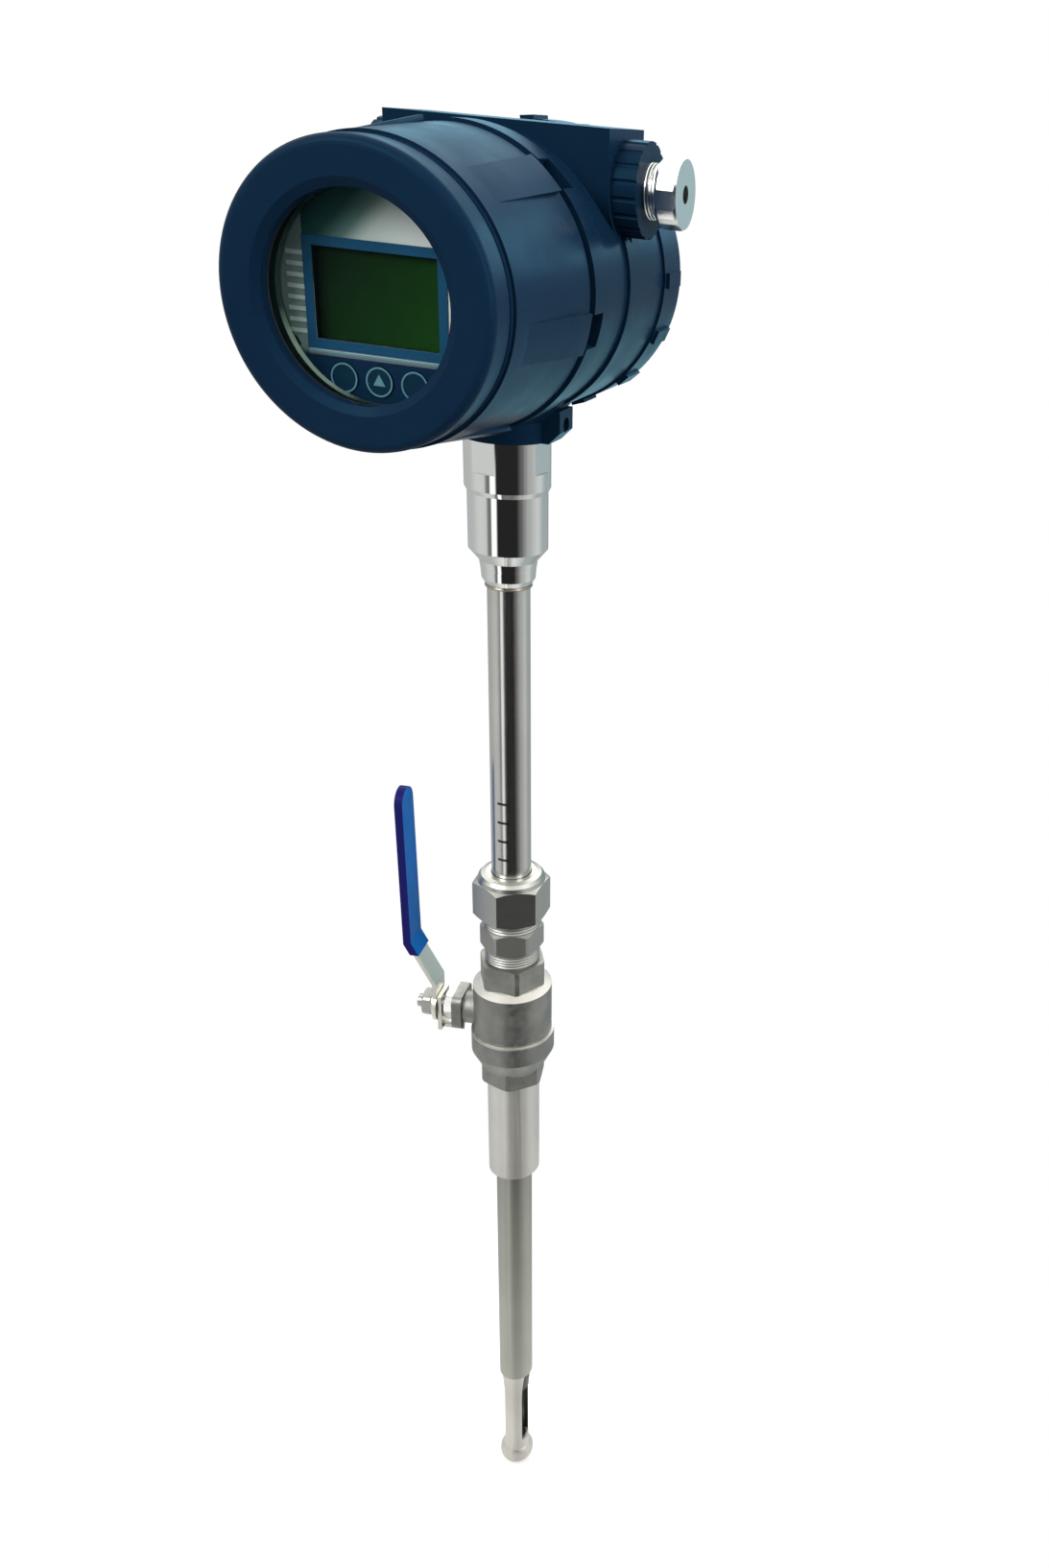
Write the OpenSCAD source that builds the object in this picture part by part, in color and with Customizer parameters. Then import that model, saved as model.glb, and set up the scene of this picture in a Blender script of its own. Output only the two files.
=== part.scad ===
// Thermal mass flow meter, insertion type, held in a full bore ball valve.
// Millimetres. The origin is the middle of the process nipple's lower end, +Z up along
// the probe. The display looks along -Y, and the cable gland is on the +X side.

/* [Process nipple and probe tube] */
// Outer diameter of the process nipple
nipple_d = 26.9; // [26:0.1:27.5]
// Wall of the process nipple
nipple_wall = 2.9; // [2:0.1:3]
// Length of the nipple that shows below the valve
nipple_show = 61.5; // [40:0.5:90]
// Length of the nipple inside the valve's thread
nipple_engage = 13.5; // [10:0.5:14]
// Outer diameter of the probe tube
tube_d = 19.05; // [18:0.05:19.2]
// Wall of the probe tube
tube_wall = 1.65; // [1.2:0.05:2]
// Length of tube that shows between the compression nut and the head's neck
tube_show = 145.7; // [60:0.1:400]
// Length of tube below the nipple's lower end
tube_below = 157.4; // [60:0.1:300]
// Pitch of the depth marks on the tube
mark_pitch = 10; // [5:1:20]
// Number of depth marks
mark_count = 4; // [1:1:12]

/* [Sensor] */
// Length of the sensor shield below the tube
shield_len = 77.9; // [70:0.1:90]
// Outer diameter of the shield at its waist
shield_waist_d = 14.2; // [13:0.1:16]
// Diameter of the round nose of the shield
shield_nose_d = 19.4; // [18:0.1:19.8]
// Height of the flow window in the shield
window_slot_h = 43; // [38:0.5:44]
// Width of the flow window
window_slot_w = 9; // [6:0.5:9.5]
// Diameter of a sensing pin
sensor_pin_d = 3; // [2:0.1:3.2]
// Length of a sensing pin inside the flow window
sensor_pin_len = 29; // [15:0.5:32]

/* [Ball valve] */
// Width across the flats of the valve's two pipe hexagons
valve_hex_af = 30; // [29:0.1:32]
// Diameter to which the hexagons' corners are turned
valve_corner_d = 33.4; // [33:0.1:35.5]
// Height of the lower hexagon that shows
cap_hex_h = 8.5; // [5:0.1:12]
// Height of the cone above the lower hexagon
cap_cone_h = 10.4; // [8:0.1:14]
// Height of the end cap's collar
ring_h = 11.1; // [10:0.1:15]
// Diameter of the end cap's collar
ring_d = 42.2; // [41.6:0.1:46]
// Height of the valve's barrel
barrel_h = 27.5; // [21.6:0.1:30]
// Diameter of the valve's barrel
barrel_d = 39.6; // [39:0.1:41.2]
// Height of the cone above the barrel
valve_cone_h = 2.2; // [1.5:0.1:14]
// Height of the upper hexagon above that cone
valve_hex_h = 13.6; // [8:0.1:16]
// Diameter of the ball
ball_d = 31; // [30:0.1:31.2]
// Diameter of the full bore through ball and seats
port_d = 20.6; // [20.2:0.1:21]
// Height of the ball's centre above the joint of the two housing halves
ball_rise = 9; // [8:0.1:9.4]
// Angle of the stem, turned from -X towards -Y
stem_turn = 8; // [-30:1:30]
// Diameter of the stem
stem_d = 9; // [8:0.1:9.2]

/* [Lever] */
// Distance of the lever's inner face from the probe's axis
lever_reach = 38; // [37.6:0.1:44]
// Thickness of the lever strip
lever_t = 2; // [1.5:0.1:3]
// Width of the lever strip
lever_w = 13.2; // [12:0.2:17]
// Height of the lever's end above the stem
lever_len = 121.5; // [80:0.5:160]
// How far the lever cranks outwards
lever_crank = 12.7; // [6:0.1:20]
// How far the lever leans further outwards up to its end
lever_lean = 1.2; // [0:0.1:4]
// Length of bare strip between the stem and the vinyl sleeve
lever_bare = 32; // [24:0.1:38]
// Wall of the vinyl sleeve
grip_wall = 1; // [0.8:0.1:2]
// Travel of the lock slide
lock_travel = 2.8; // [1:0.1:2.9]

/* [Compression fitting] */
// Height of the thread that shows between valve and fitting
fit_gap = 7.7; // [3:0.1:12]
// Height of the fitting's hexagon
fit_hex_h = 12; // [9:0.1:18]
// Width across the flats of the fitting's hexagon
fit_hex_af = 28; // [27.8:0.1:30]
// Height of the thread that shows below the nut
nut_gap = 6.3; // [3:0.1:8]
// Height of the compression nut
nut_h = 23.7; // [22:0.1:30]
// Width across the flats of the compression nut
nut_af = 33; // [32:0.1:36]

/* [Neck] */
// Diameter of the neck's upper flange
neck_flange_d = 36.9; // [35.5:0.1:38]
// Height of the upper flange
neck_flange_h = 21; // [16:0.1:26]
// Diameter of the neck's cylinder
neck_d = 34.6; // [30:0.1:35]
// Height of the neck's cylinder
neck_cyl_h = 27.2; // [15:0.1:40]
// Height of the wrench flats
neck_flat_h = 13.5; // [8:0.1:15]
// Width across the wrench flats
neck_flat_af = 35.2; // [34:0.1:35.4]

/* [Head] */
// Outer radius of the housing body
body_r = 55.3; // [48:0.1:66]
// Wall between the housing body's outer side and the two compartments
room_wall = 10.3; // [9.8:0.1:10.8]
// Height of the boss below the housing body
boss_over = 9.2; // [8:0.1:20]
// Front seam, distance ahead of the probe's axis
front_seam = 44; // [42:0.5:50]
// Rear seam, distance behind the probe's axis
rear_seam = 33; // [30:0.5:40]
// Thickness of the wall between the compartments
partition_t = 5; // [3:0.5:6]
// Length of the front cover
front_cover_len = 76; // [76:0.5:90]
// How far the front cover's seam lies inside the housing body's outer side
cover_rim_drop = 1.3; // [0.7:0.1:1.7]
// How far the front cover's bead lies inside its seam
cover_taper = 4.4; // [3.6:0.1:5]
// Width of the front ring round the window
bezel_w = 15.6; // [14.6:0.1:19]
// Length of the rear cover
rear_cover_len = 24; // [22:0.5:34]
// How far the rear cover stands out over the housing body
rear_cover_over = 1; // [0.3:0.1:1.7]
// Number of wrench lugs on the front cover
front_lugs = 6; // [3:1:8]
// Number of wrench lugs on the rear cover
rear_lugs = 15; // [6:1:18]
// Pitch of the cover threads
thread_pitch = 2; // [1.5:0.1:2.4]

/* [Conduit entries] */
// How far the ends of the top block lie inside the housing body's outer side
block_in = 5.3; // [3:0.1:7]
// How much shorter the top block is on the side of the plug
block_left_in = 9; // [0:0.1:11]
// Height of the top block above the housing body
block_over = 0.7; // [0.2:0.1:5]
// Half depth of the top block along Y
block_depth = 19; // [18:0.5:22]
// Depth of the conduit axis below the top block's upper face
conduit_drop = 20.6; // [19:0.1:22]
// Radius of the fluted end rings
hub_r = 17.4; // [16.5:0.1:18.5]
// Length of a fluted end ring
hub_len = 10; // [5:0.1:12]
// Radius of the conduit thread
conduit_r = 10; // [9:0.1:10.5]
// Number of flutes round a ring
flutes = 18; // [8:2:24]

/* [Gland and plug] */
// Width across the flats of the gland nut
gland_af = 25; // [24.5:0.1:27]
// Radius of the cable hole
cable_r = 3; // [2:0.1:4]

/* [Display] */
// Distance of the faceplate's front from the probe's axis
face_front = 104; // [100:0.5:104]
// Width of the visible screen, as a share of the faceplate's radius
lcd_w_share = 1.122; // [1:0.001:1.17]
// Height of the visible screen, as a share of the faceplate's radius
lcd_h_share = 0.732; // [0.6:0.001:0.75]
// Diameter of a key, as a share of the faceplate's radius
key_d_share = 0.244; // [0.2:0.001:0.26]
// Distance between two keys, as a share of the faceplate's radius
key_pitch_share = 0.324; // [0.3:0.001:0.34]
// Travel of a key
key_travel = 0.5; // [0.3:0.1:0.5]

/* [Hidden] */
$fn = 72;

// Clearances: pieces of one group, running fits, and pieces that move past each other
close_gap = 0.05;
run_gap = 0.05;
free_gap = 0.3;
// Overrun of every cut
cut = 1;

// Radii
nipple_r = nipple_d / 2;
nipple_bore_r = nipple_r - nipple_wall;
tube_r = tube_d / 2;
tube_bore_r = tube_r - tube_wall;
port_r = port_d / 2;
ball_r = ball_d / 2;
barrel_r = barrel_d / 2;
ring_r = ring_d / 2;
corner_r = valve_corner_d / 2;
stem_r = stem_d / 2;
neck_r = neck_d / 2;
flange_r = neck_flange_d / 2;

// Radii of the head, all taken from the housing body's
room_r = body_r - room_wall;
cover_rim_r = body_r - cover_rim_drop;
bezel_r = cover_rim_r - cover_taper;
window_r = bezel_r - bezel_w;
rear_cover_r = body_r + rear_cover_over;
block_half = body_r - block_in;
block_left = block_half - block_left_in;
block_top = body_r + block_over;
conduit_rise = block_top - conduit_drop;
boss_drop = body_r + boss_over;

// Heights from the nipple's lower end upwards
cap_z = nipple_show;
cap_cone_z = cap_z + cap_hex_h;
ring_z = cap_cone_z + cap_cone_h;
barrel_z = ring_z + ring_h;
ball_z = barrel_z + ball_rise;
valve_cone_z = barrel_z + barrel_h;
valve_hex_z = valve_cone_z + valve_cone_h;
valve_top = valve_hex_z + valve_hex_h;
fit_z = valve_top + fit_gap;
fit_top = fit_z + fit_hex_h;
nut_z = fit_top + nut_gap;
nut_top = nut_z + nut_h;
neck_z = nut_top + tube_show;
collar_h = 3.6;
waist_h = 8.2;
neck_cone_h = 5.3;
neck_waist_z = neck_z + collar_h;
neck_cone_z = neck_waist_z + waist_h;
neck_cyl_z = neck_cone_z + neck_cone_h;
neck_flange_z = neck_cyl_z + neck_cyl_h;
boss_z = neck_flange_z + neck_flange_h;
head_z = boss_z + boss_drop;

// Ring about the probe's axis
module ring_z(ro, ri, z0, z1) {
  translate([0, 0, z0])
    difference() {
      cylinder(r = ro, h = z1 - z0);
      translate([0, 0, -cut]) cylinder(r = ri, h = z1 - z0 + 2 * cut);
    }
}

// Hexagon about Z with its corners turned down and both ends chamfered
module hex_z(af, turned_r, z0, z1, chamfer, turn) {
  intersection() {
    translate([0, 0, z0]) rotate(turn) cylinder(d = af / cos(30), h = z1 - z0, $fn = 6);
    rotate_extrude()
      polygon([[0, z0], [af / 2, z0], [turned_r, z0 + chamfer],
               [turned_r, z1 - chamfer], [af / 2, z1], [0, z1]]);
  }
}

// Frame whose +Z runs out along the valve stem and whose +X is up
module on_stem() {
  translate([0, 0, ball_z]) rotate(stem_turn) rotate([0, -90, 0]) children();
}

// Frame whose +Z is the world's +Y, at the head's axis
module on_head() {
  translate([0, 0, head_z]) rotate([-90, 0, 0]) children();
}

// Turn about the head's axis, counted from +X towards +Z
module head_turn(a) {
  rotate(-a) children();
}

// Ring about the head's axis between two places along Y
module ring_y(ro, ri, y0, y1) {
  on_head() ring_z(ro, ri, y0, y1);
}

// Disc about an axis along Y, at x and at z above the head's axis
module disc_y(r, y0, y1, x = 0, z = 0) {
  on_head() translate([x, -z, y0]) cylinder(r = r, h = y1 - y0);
}

// Box between two places along Y, centred at x and at z above the head's axis
module box_y(w, h, y0, y1, x = 0, z = 0) {
  translate([x - w / 2, y0, head_z + z - h / 2]) cube([w, y1 - y0, h]);
}

// Frame whose +Z is the world's +X, on the conduit axis
module on_conduit() {
  translate([0, 0, head_z + conduit_rise]) rotate([0, 90, 0]) children();
}

// Process nipple: a plain end to weld or clamp below, its thread above

thread_drop = 0.7;
nipple_thread_r = nipple_r - thread_drop;

module process_nipple() {
  color("silver")
    difference() {
      union() {
        cylinder(r = nipple_r, h = cap_z);
        translate([0, 0, cap_z]) cylinder(r = nipple_thread_r, h = nipple_engage);
      }
      translate([0, 0, -cut]) cylinder(r = nipple_bore_r, h = cap_z + nipple_engage + 2 * cut);
    }
}

// Ball valve: lower half with its hexagon, cone and collar

seat_h = 5;
seat_near = 9.5;
seat_low = ball_z - seat_near - seat_h;
seat_high = ball_z + seat_near + seat_h;
cavity_gap = 0.9;
skirt_t = 2.4;
cavity_r = ball_r + cavity_gap;
skirt_r = cavity_r + skirt_t;
hex_chamfer = 1.2;
cast_chamfer = 0.4;
thread_depth = 14;
seal_h = 1;
cap_turn = -16;
body_turn = 2;
cone_step = 0.8;
cap_cone_r = corner_r - cone_step;

module valve_end_cap() {
  color("gray")
    difference() {
      union() {
        hex_z(valve_hex_af, corner_r, cap_z, ring_z, cast_chamfer, cap_turn);
        translate([0, 0, cap_cone_z]) cylinder(r1 = cap_cone_r, r2 = ring_r, h = cap_cone_h);
        translate([0, 0, ring_z]) cylinder(r = ring_r, h = ring_h);
      }
      translate([0, 0, cap_z - cut])
        cylinder(r = nipple_thread_r + close_gap, h = nipple_engage + cut);
      translate([0, 0, cap_z]) cylinder(r = port_r, h = seat_low - cap_z + cut);
      translate([0, 0, seat_low])
        cylinder(r = skirt_r + close_gap, h = barrel_z - seat_low + cut);
    }
}

// Upper half: barrel, cone, pipe hexagon, stem boss and the square pad with the lock notch

boss_r = 8.5;
boss_end = 29.5;
pad_t = 5;
pad_half = 9.5;
pad_round = 3.5;
notch_w = 10;
lock_shelf_gap = 0.8;
notch_depth = lock_travel - lock_shelf_gap + 2 * free_gap;
pocket_r = 7;
pocket_end = 19.4;
packing_r = 6.4;
packing_end = 22;
fit_thread_r = 13.2;

module pad_outline() {
  hull()
    for (sx = [-1, 1], sy = [-1, 1])
      translate([sx * (pad_half - pad_round), sy * (pad_half - pad_round)])
        circle(r = pad_round, $fn = 32);
}

module valve_body() {
  color("gray")
    difference() {
      union() {
        translate([0, 0, seat_low + seal_h])
          cylinder(r = skirt_r, h = barrel_z - seat_low - seal_h);
        translate([0, 0, barrel_z]) cylinder(r = barrel_r, h = barrel_h);
        translate([0, 0, valve_cone_z])
          cylinder(r1 = barrel_r, r2 = cap_cone_r, h = valve_cone_h);
        hex_z(valve_hex_af, corner_r, valve_cone_z, valve_top, cast_chamfer, body_turn);
        on_stem() translate([0, 0, cavity_r]) cylinder(r = boss_r, h = boss_end - cavity_r);
        on_stem() translate([0, 0, boss_end - pad_t]) linear_extrude(pad_t) pad_outline();
      }
      translate([0, 0, seat_low]) cylinder(r = cavity_r, h = seat_high - seat_low);
      translate([0, 0, seat_high - cut]) cylinder(r = port_r, h = valve_top - seat_high + cut);
      translate([0, 0, valve_top - thread_depth])
        cylinder(r = fit_thread_r + close_gap, h = thread_depth + cut);
      on_stem() cylinder(r = pocket_r, h = pocket_end);
      on_stem() translate([0, 0, pocket_end - cut])
        cylinder(r = stem_r + run_gap, h = boss_end - pocket_end + 2 * cut);
      on_stem() translate([0, 0, packing_end])
        cylinder(r = packing_r + close_gap, h = boss_end - packing_end + cut);
      on_stem() translate([-pad_half - cut, -notch_w / 2, boss_end - pad_t - cut])
        cube([notch_depth + cut, notch_w, pad_t + 2 * cut]);
    }
}

module body_seal() {
  color("white") ring_z(skirt_r, cavity_r, seat_low, seat_low + seal_h);
}

module seat(side) {
  z0 = side > 0 ? ball_z + seat_near : seat_low;
  difference() {
    ring_z(cavity_r - close_gap, port_r, z0, z0 + seat_h);
    translate([0, 0, ball_z]) sphere(r = ball_r + free_gap);
  }
}

module valve_seats() {
  color("white") {
    seat(-1);
    seat(1);
  }
}

// Ball with its full bore and the slot for the stem's tang

slot_w = 5.2;
slot_depth = 3;
slot_floor = ball_r - slot_depth;

module valve_ball() {
  color("lightgray")
    difference() {
      translate([0, 0, ball_z]) sphere(r = ball_r);
      translate([0, 0, ball_z - ball_r - cut]) cylinder(r = port_r, h = 2 * (ball_r + cut));
      on_stem() translate([-slot_w / 2, -ball_r, slot_floor]) cube([slot_w, 2 * ball_r, ball_r]);
    }
}

// Stem: tang, collar, shaft, flats for the lever and thread for its nut

collar_r = 6.5;
tang_gap = 0.1;
collar_start = ball_r + free_gap;
washer_t = 1.1;
collar_end = pocket_end - washer_t;
flats_w = 6.4;
flats_lead = 0.6;
flats_start = lever_reach - flats_lead;
lever_out = lever_reach + lever_t;
lever_washer_t = 1.2;
lever_nut_h = 5;
stem_over = 3.3;
stem_end = lever_out + lever_washer_t + lever_nut_h + stem_over;
stem_thread_r = 3.9;

module valve_stem() {
  color("silver")
    on_stem()
      union() {
        intersection() {
          translate([0, 0, slot_floor + 2 * tang_gap])
            cylinder(r = stem_r, h = collar_start - slot_floor);
          translate([-slot_w / 2 + tang_gap, -stem_r, slot_floor])
            cube([slot_w - 2 * tang_gap, 2 * stem_r, ball_r]);
        }
        translate([0, 0, collar_start]) cylinder(r = collar_r, h = collar_end - collar_start);
        translate([0, 0, collar_end]) cylinder(r = stem_r, h = flats_start - collar_end);
        intersection() {
          translate([0, 0, flats_start]) cylinder(r = stem_r, h = lever_out - flats_start);
          translate([-stem_r, -flats_w / 2, flats_start])
            cube([2 * stem_r, flats_w, lever_out - flats_start]);
        }
        translate([0, 0, lever_out])
          cylinder(r = min(stem_thread_r, flats_w / 2), h = stem_end - lever_out);
      }
}

module stem_washer() {
  color("white")
    on_stem() ring_z(pocket_r - close_gap, stem_r + run_gap, collar_end, pocket_end);
}

// Packing rings pressed by the packing nut

nut_thread_len = 3.5;
packing_hex_af = 14;
packing_hex_h = 5;
packing_corner_drop = 0.9;
packing_chamfer = 0.6;
packing_turn = 30;

module stem_packing() {
  color("white")
    on_stem()
      ring_z(packing_r, stem_r + run_gap, packing_end, boss_end - nut_thread_len);
}

module packing_nut() {
  color("silver")
    on_stem()
      difference() {
        union() {
          translate([0, 0, boss_end - nut_thread_len])
            cylinder(r = packing_r, h = nut_thread_len);
          hex_z(packing_hex_af, packing_hex_af / 2 + packing_corner_drop, boss_end,
                boss_end + packing_hex_h, packing_chamfer, packing_turn);
        }
        translate([0, 0, boss_end - nut_thread_len - cut])
          cylinder(r = stem_r + run_gap, h = nut_thread_len + packing_hex_h + 2 * cut);
      }
}

// Lever: a cranked strip, its side drawn in the frame of the stem

lever_low_r = 9;
crank_low = 15;
crank_run = 23.7;
crank_high = crank_low + crank_run;
crank_half = atan(lever_crank / crank_run) / 2;

// Side outline of the strip, grown by the sleeve's wall where a sleeve is drawn
module lever_side(grow) {
  inner = lever_reach - grow;
  outer = lever_out + grow;
  inner_shift = grow * tan(crank_half);
  outer_shift = -(lever_t + grow) * tan(crank_half);
  rotate([90, 0, 0])
    linear_extrude(2 * lever_w, center = true)
      polygon([[-lever_low_r - cut, inner], [crank_low + inner_shift, inner],
               [crank_high + inner_shift, inner + lever_crank],
               [lever_len + grow, inner + lever_crank + lever_lean],
               [lever_len + grow, outer + lever_crank + lever_lean],
               [crank_high + outer_shift, outer + lever_crank],
               [crank_low + outer_shift, outer], [-lever_low_r - cut, outer]]);
}

// Front outline of the strip, rounded at both ends
module lever_front(grow) {
  half = lever_w / 2 + grow;
  reach = lever_out + lever_crank + lever_lean + 2 * grow + cut;
  linear_extrude(reach) {
    circle(r = lever_low_r + grow);
    translate([0, -half]) square([lever_len - lever_w / 2, 2 * half]);
    translate([lever_len - lever_w / 2, 0]) circle(r = half);
  }
}

module lever_strip(grow) {
  intersection() {
    lever_side(grow);
    lever_front(grow);
  }
}

module lever() {
  color("silver")
    on_stem()
      difference() {
        lever_strip(0);
        intersection() {
          cylinder(r = stem_r + close_gap, h = lever_out + cut);
          translate([-stem_r - cut, -flats_w / 2 - close_gap, 0])
            cube([2 * (stem_r + cut), flats_w + 2 * close_gap, lever_out + cut]);
        }
      }
}

module lever_grip() {
  color("royalblue")
    on_stem()
      difference() {
        intersection() {
          lever_strip(grip_wall);
          translate([lever_bare, -lever_w, 0])
            cube([lever_len, 2 * lever_w, lever_out + lever_crank + lever_lean + lever_w]);
        }
        lever_strip(close_gap);
      }
}

washer_r = 7;
thread_r = min(stem_thread_r, flats_w / 2);

module lever_washer() {
  color("silver")
    on_stem() ring_z(washer_r, thread_r + close_gap, lever_out, lever_out + lever_washer_t);
}

lever_nut_af = 13;
lever_nut_edge = 0.7;

module lever_nut() {
  z0 = lever_out + lever_washer_t;
  color("silver")
    on_stem()
      difference() {
        hex_z(lever_nut_af, lever_nut_af / 2 + lever_nut_edge, z0, z0 + lever_nut_h,
              lever_nut_edge, 12);
        translate([0, 0, z0 - cut])
          cylinder(r = thread_r + close_gap, h = lever_nut_h + 2 * cut);
      }
}

// Lock slide: plate behind the lever, shelf below the pad, and a pointed tab for its notch

lock_t = 2;
lock_w = 13;
lock_high = 7.5;
lock_tab_w = 7;
lock_tab_drop = 6;
lock_tab_in = 3;
lock_tab_t = 2;
lock_shelf = pad_half + lock_shelf_gap;
lock_face = lever_reach - free_gap;
lock_tab_z = boss_end - lock_tab_in;

module lock_slide() {
  slot_r = stem_r + free_gap;
  color("silver")
    on_stem()
      difference() {
        union() {
          translate([-lock_shelf - lock_t, -lock_w / 2, lock_face - lock_t])
            cube([lock_shelf + lock_t + lock_high, lock_w, lock_t]);
          translate([-lock_shelf - lock_t, -lock_tab_w / 2, lock_tab_z])
            cube([lock_t, lock_tab_w, lock_face - lock_tab_z]);
          translate([0, 0, lock_tab_z])
            linear_extrude(lock_tab_t)
              polygon([[-lock_shelf, -lock_tab_w / 2], [-lock_shelf, lock_tab_w / 2],
                       [-lock_shelf - lock_t, lock_tab_w / 2],
                       [-lock_shelf - lock_tab_drop, lock_tab_w / 4],
                       [-lock_shelf - lock_t, -lock_tab_w / 2]]);
        }
        for (x = [-lock_travel, 0])
          translate([x, 0, lock_face - lock_t - cut])
            cylinder(r = slot_r, h = lock_t + 2 * cut);
        translate([-lock_travel, -slot_r, lock_face - lock_t - cut])
          cube([lock_travel, 2 * slot_r, lock_t + 2 * cut]);
      }
}

// Compression fitting: hexagon, thread into the valve and thread for the nut

fit_turn = 22;
fit_edge = 1.7;
fit_corner_r = fit_hex_af / 2 + fit_edge;
fit_nut_thread_r = 13.8;
fit_nut_thread_h = 12;
tube_way_r = tube_r + free_gap;
ferrule_r = tube_r + run_gap;
ferrule_tip_r = 10.4;
ferrule_base_r = 12.2;
ferrule_rise = 7.5;
ferrule_tip_z = fit_top + ferrule_rise;
ferrule_cone_h = 5.5;
ferrule_rim_h = 1;
ferrule_mid_z = ferrule_tip_z + ferrule_cone_h + ferrule_rim_h;
ferrule_split = 0.1;
back_ferrule_h = 3.6;
back_ferrule_end_r = 11;
ferrule_end_z = ferrule_mid_z + ferrule_split + back_ferrule_h;

module fitting_body() {
  color("silver")
    difference() {
      union() {
        translate([0, 0, valve_top - thread_depth + cut])
          cylinder(r = fit_thread_r, h = thread_depth - cut + fit_gap);
        hex_z(fit_hex_af, fit_corner_r, fit_z, fit_top, hex_chamfer, fit_turn);
        translate([0, 0, fit_top]) cylinder(r = fit_nut_thread_r, h = fit_nut_thread_h);
      }
      translate([0, 0, valve_top - thread_depth])
        cylinder(r = tube_way_r, h = ferrule_end_z - valve_top + thread_depth);
      rotate_extrude()
        polygon([[0, ferrule_tip_z - free_gap], [ferrule_tip_r + free_gap, ferrule_tip_z - free_gap],
                 [ferrule_base_r + 2 * free_gap, ferrule_tip_z + ferrule_cone_h],
                 [ferrule_base_r + 2 * free_gap, ferrule_end_z], [0, ferrule_end_z]]);
    }
}

module front_ferrule() {
  z1 = ferrule_tip_z + ferrule_cone_h;
  color("silver")
    rotate_extrude()
      polygon([[ferrule_r, ferrule_tip_z], [ferrule_tip_r, ferrule_tip_z], [ferrule_base_r, z1],
               [ferrule_base_r, ferrule_mid_z], [ferrule_r, ferrule_mid_z]]);
}

module back_ferrule() {
  z0 = ferrule_mid_z + ferrule_split;
  color("silver")
    rotate_extrude()
      polygon([[ferrule_r, z0], [ferrule_base_r, z0],
               [back_ferrule_end_r, ferrule_end_z], [ferrule_r, ferrule_end_z]]);
}

// Compression nut: hexagon with a domed top and chamfered lower corners

nut_turn = 31;
nut_edge = 2.5;
nut_corner_r = nut_af / 2 + nut_edge;
nut_low_chamfer = 1.2;
nut_relief = 4;
nut_dome_h = 5.5;
nut_top_r = 11.5;
nut_dome_shares = [[0, 1], [0.24, 0.66], [0.6, 0.6], [0.88, 0.42], [1, 0.1]];

module compression_nut() {
  dome = [for (s = nut_dome_shares)
    [nut_corner_r - (nut_corner_r - nut_top_r) * (1 - s[1]), nut_top - nut_dome_h * (1 - s[0])]];
  color("silver")
    difference() {
      intersection() {
        translate([0, 0, nut_z]) rotate(nut_turn) cylinder(d = nut_af / cos(30), h = nut_h, $fn = 6);
        rotate_extrude()
          polygon(concat([[0, nut_z], [nut_af / 2, nut_z], [nut_corner_r, nut_z + nut_low_chamfer]],
                         dome, [[0, nut_top]]));
      }
      translate([0, 0, nut_z - cut])
        cylinder(r = fit_nut_thread_r + close_gap, h = fit_nut_thread_h - nut_gap + nut_relief + cut);
      translate([0, 0, nut_z])
        cylinder(r = ferrule_base_r + 2 * free_gap, h = ferrule_end_z + free_gap - nut_z);
      translate([0, 0, nut_z]) cylinder(r = tube_way_r, h = nut_h + cut);
    }
}

// Probe tube with its engraved depth marks, which face -Y like the display

tube_socket = 10;
tube_top = neck_cyl_z + tube_socket;
mark_w = 6;
mark_h = 0.8;
mark_depth = 0.25;
mark_first = nut_top + mark_pitch;

module probe_tube() {
  color("lightgray")
    difference() {
      ring_z(tube_r, tube_bore_r, -tube_below, tube_top);
      for (i = [0 : mark_count - 1])
        translate([-mark_w / 2, -tube_r - cut, mark_first + i * mark_pitch])
          cube([mark_w, cut + mark_depth, mark_h]);
    }
}

// Sensor end: plug in the tube, two pins, and the shield with its flow window

shield_bore_r = 5.4;
shield_top_r = 8.7;
shield_waist_r = shield_waist_d / 2;
shield_nose_r = shield_nose_d / 2;
shield_nose_z = shield_len - shield_nose_r;
shield_taper_h = 22;
slot_start = 13.5;
slot_end = slot_start + window_slot_h;
plug_h = 14;
plug_low_h = 10;
pin_offset = 2.6;
pin_embed = 6;
pin_gap = 0.1;
pin_r = sensor_pin_d / 2;
cable_core_r = 2.5;

module sensor_plug() {
  color("silver")
    difference() {
      union() {
        translate([0, 0, -tube_below]) cylinder(r = tube_bore_r - close_gap, h = plug_h);
        translate([0, 0, -tube_below - plug_low_h])
          cylinder(r = shield_bore_r - close_gap, h = plug_low_h);
      }
      for (s = [-1, 1])
        translate([0, s * pin_offset, -tube_below - plug_low_h - cut])
          cylinder(r = pin_r + close_gap, h = plug_low_h + pin_embed + cut);
    }
}

module sensor_pin(side) {
  len = slot_start + sensor_pin_len + pin_embed - pin_gap;
  tip = slot_start + sensor_pin_len - pin_r;
  translate([0, side * pin_offset, -tube_below]) {
    translate([0, 0, -tip]) cylinder(r = pin_r, h = len - pin_r);
    translate([0, 0, -tip]) sphere(r = pin_r);
  }
}

module heated_pin() {
  color("gainsboro") sensor_pin(-1);
}

module reference_pin() {
  color("gainsboro") sensor_pin(1);
}

flare_lead = 1.5;

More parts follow.
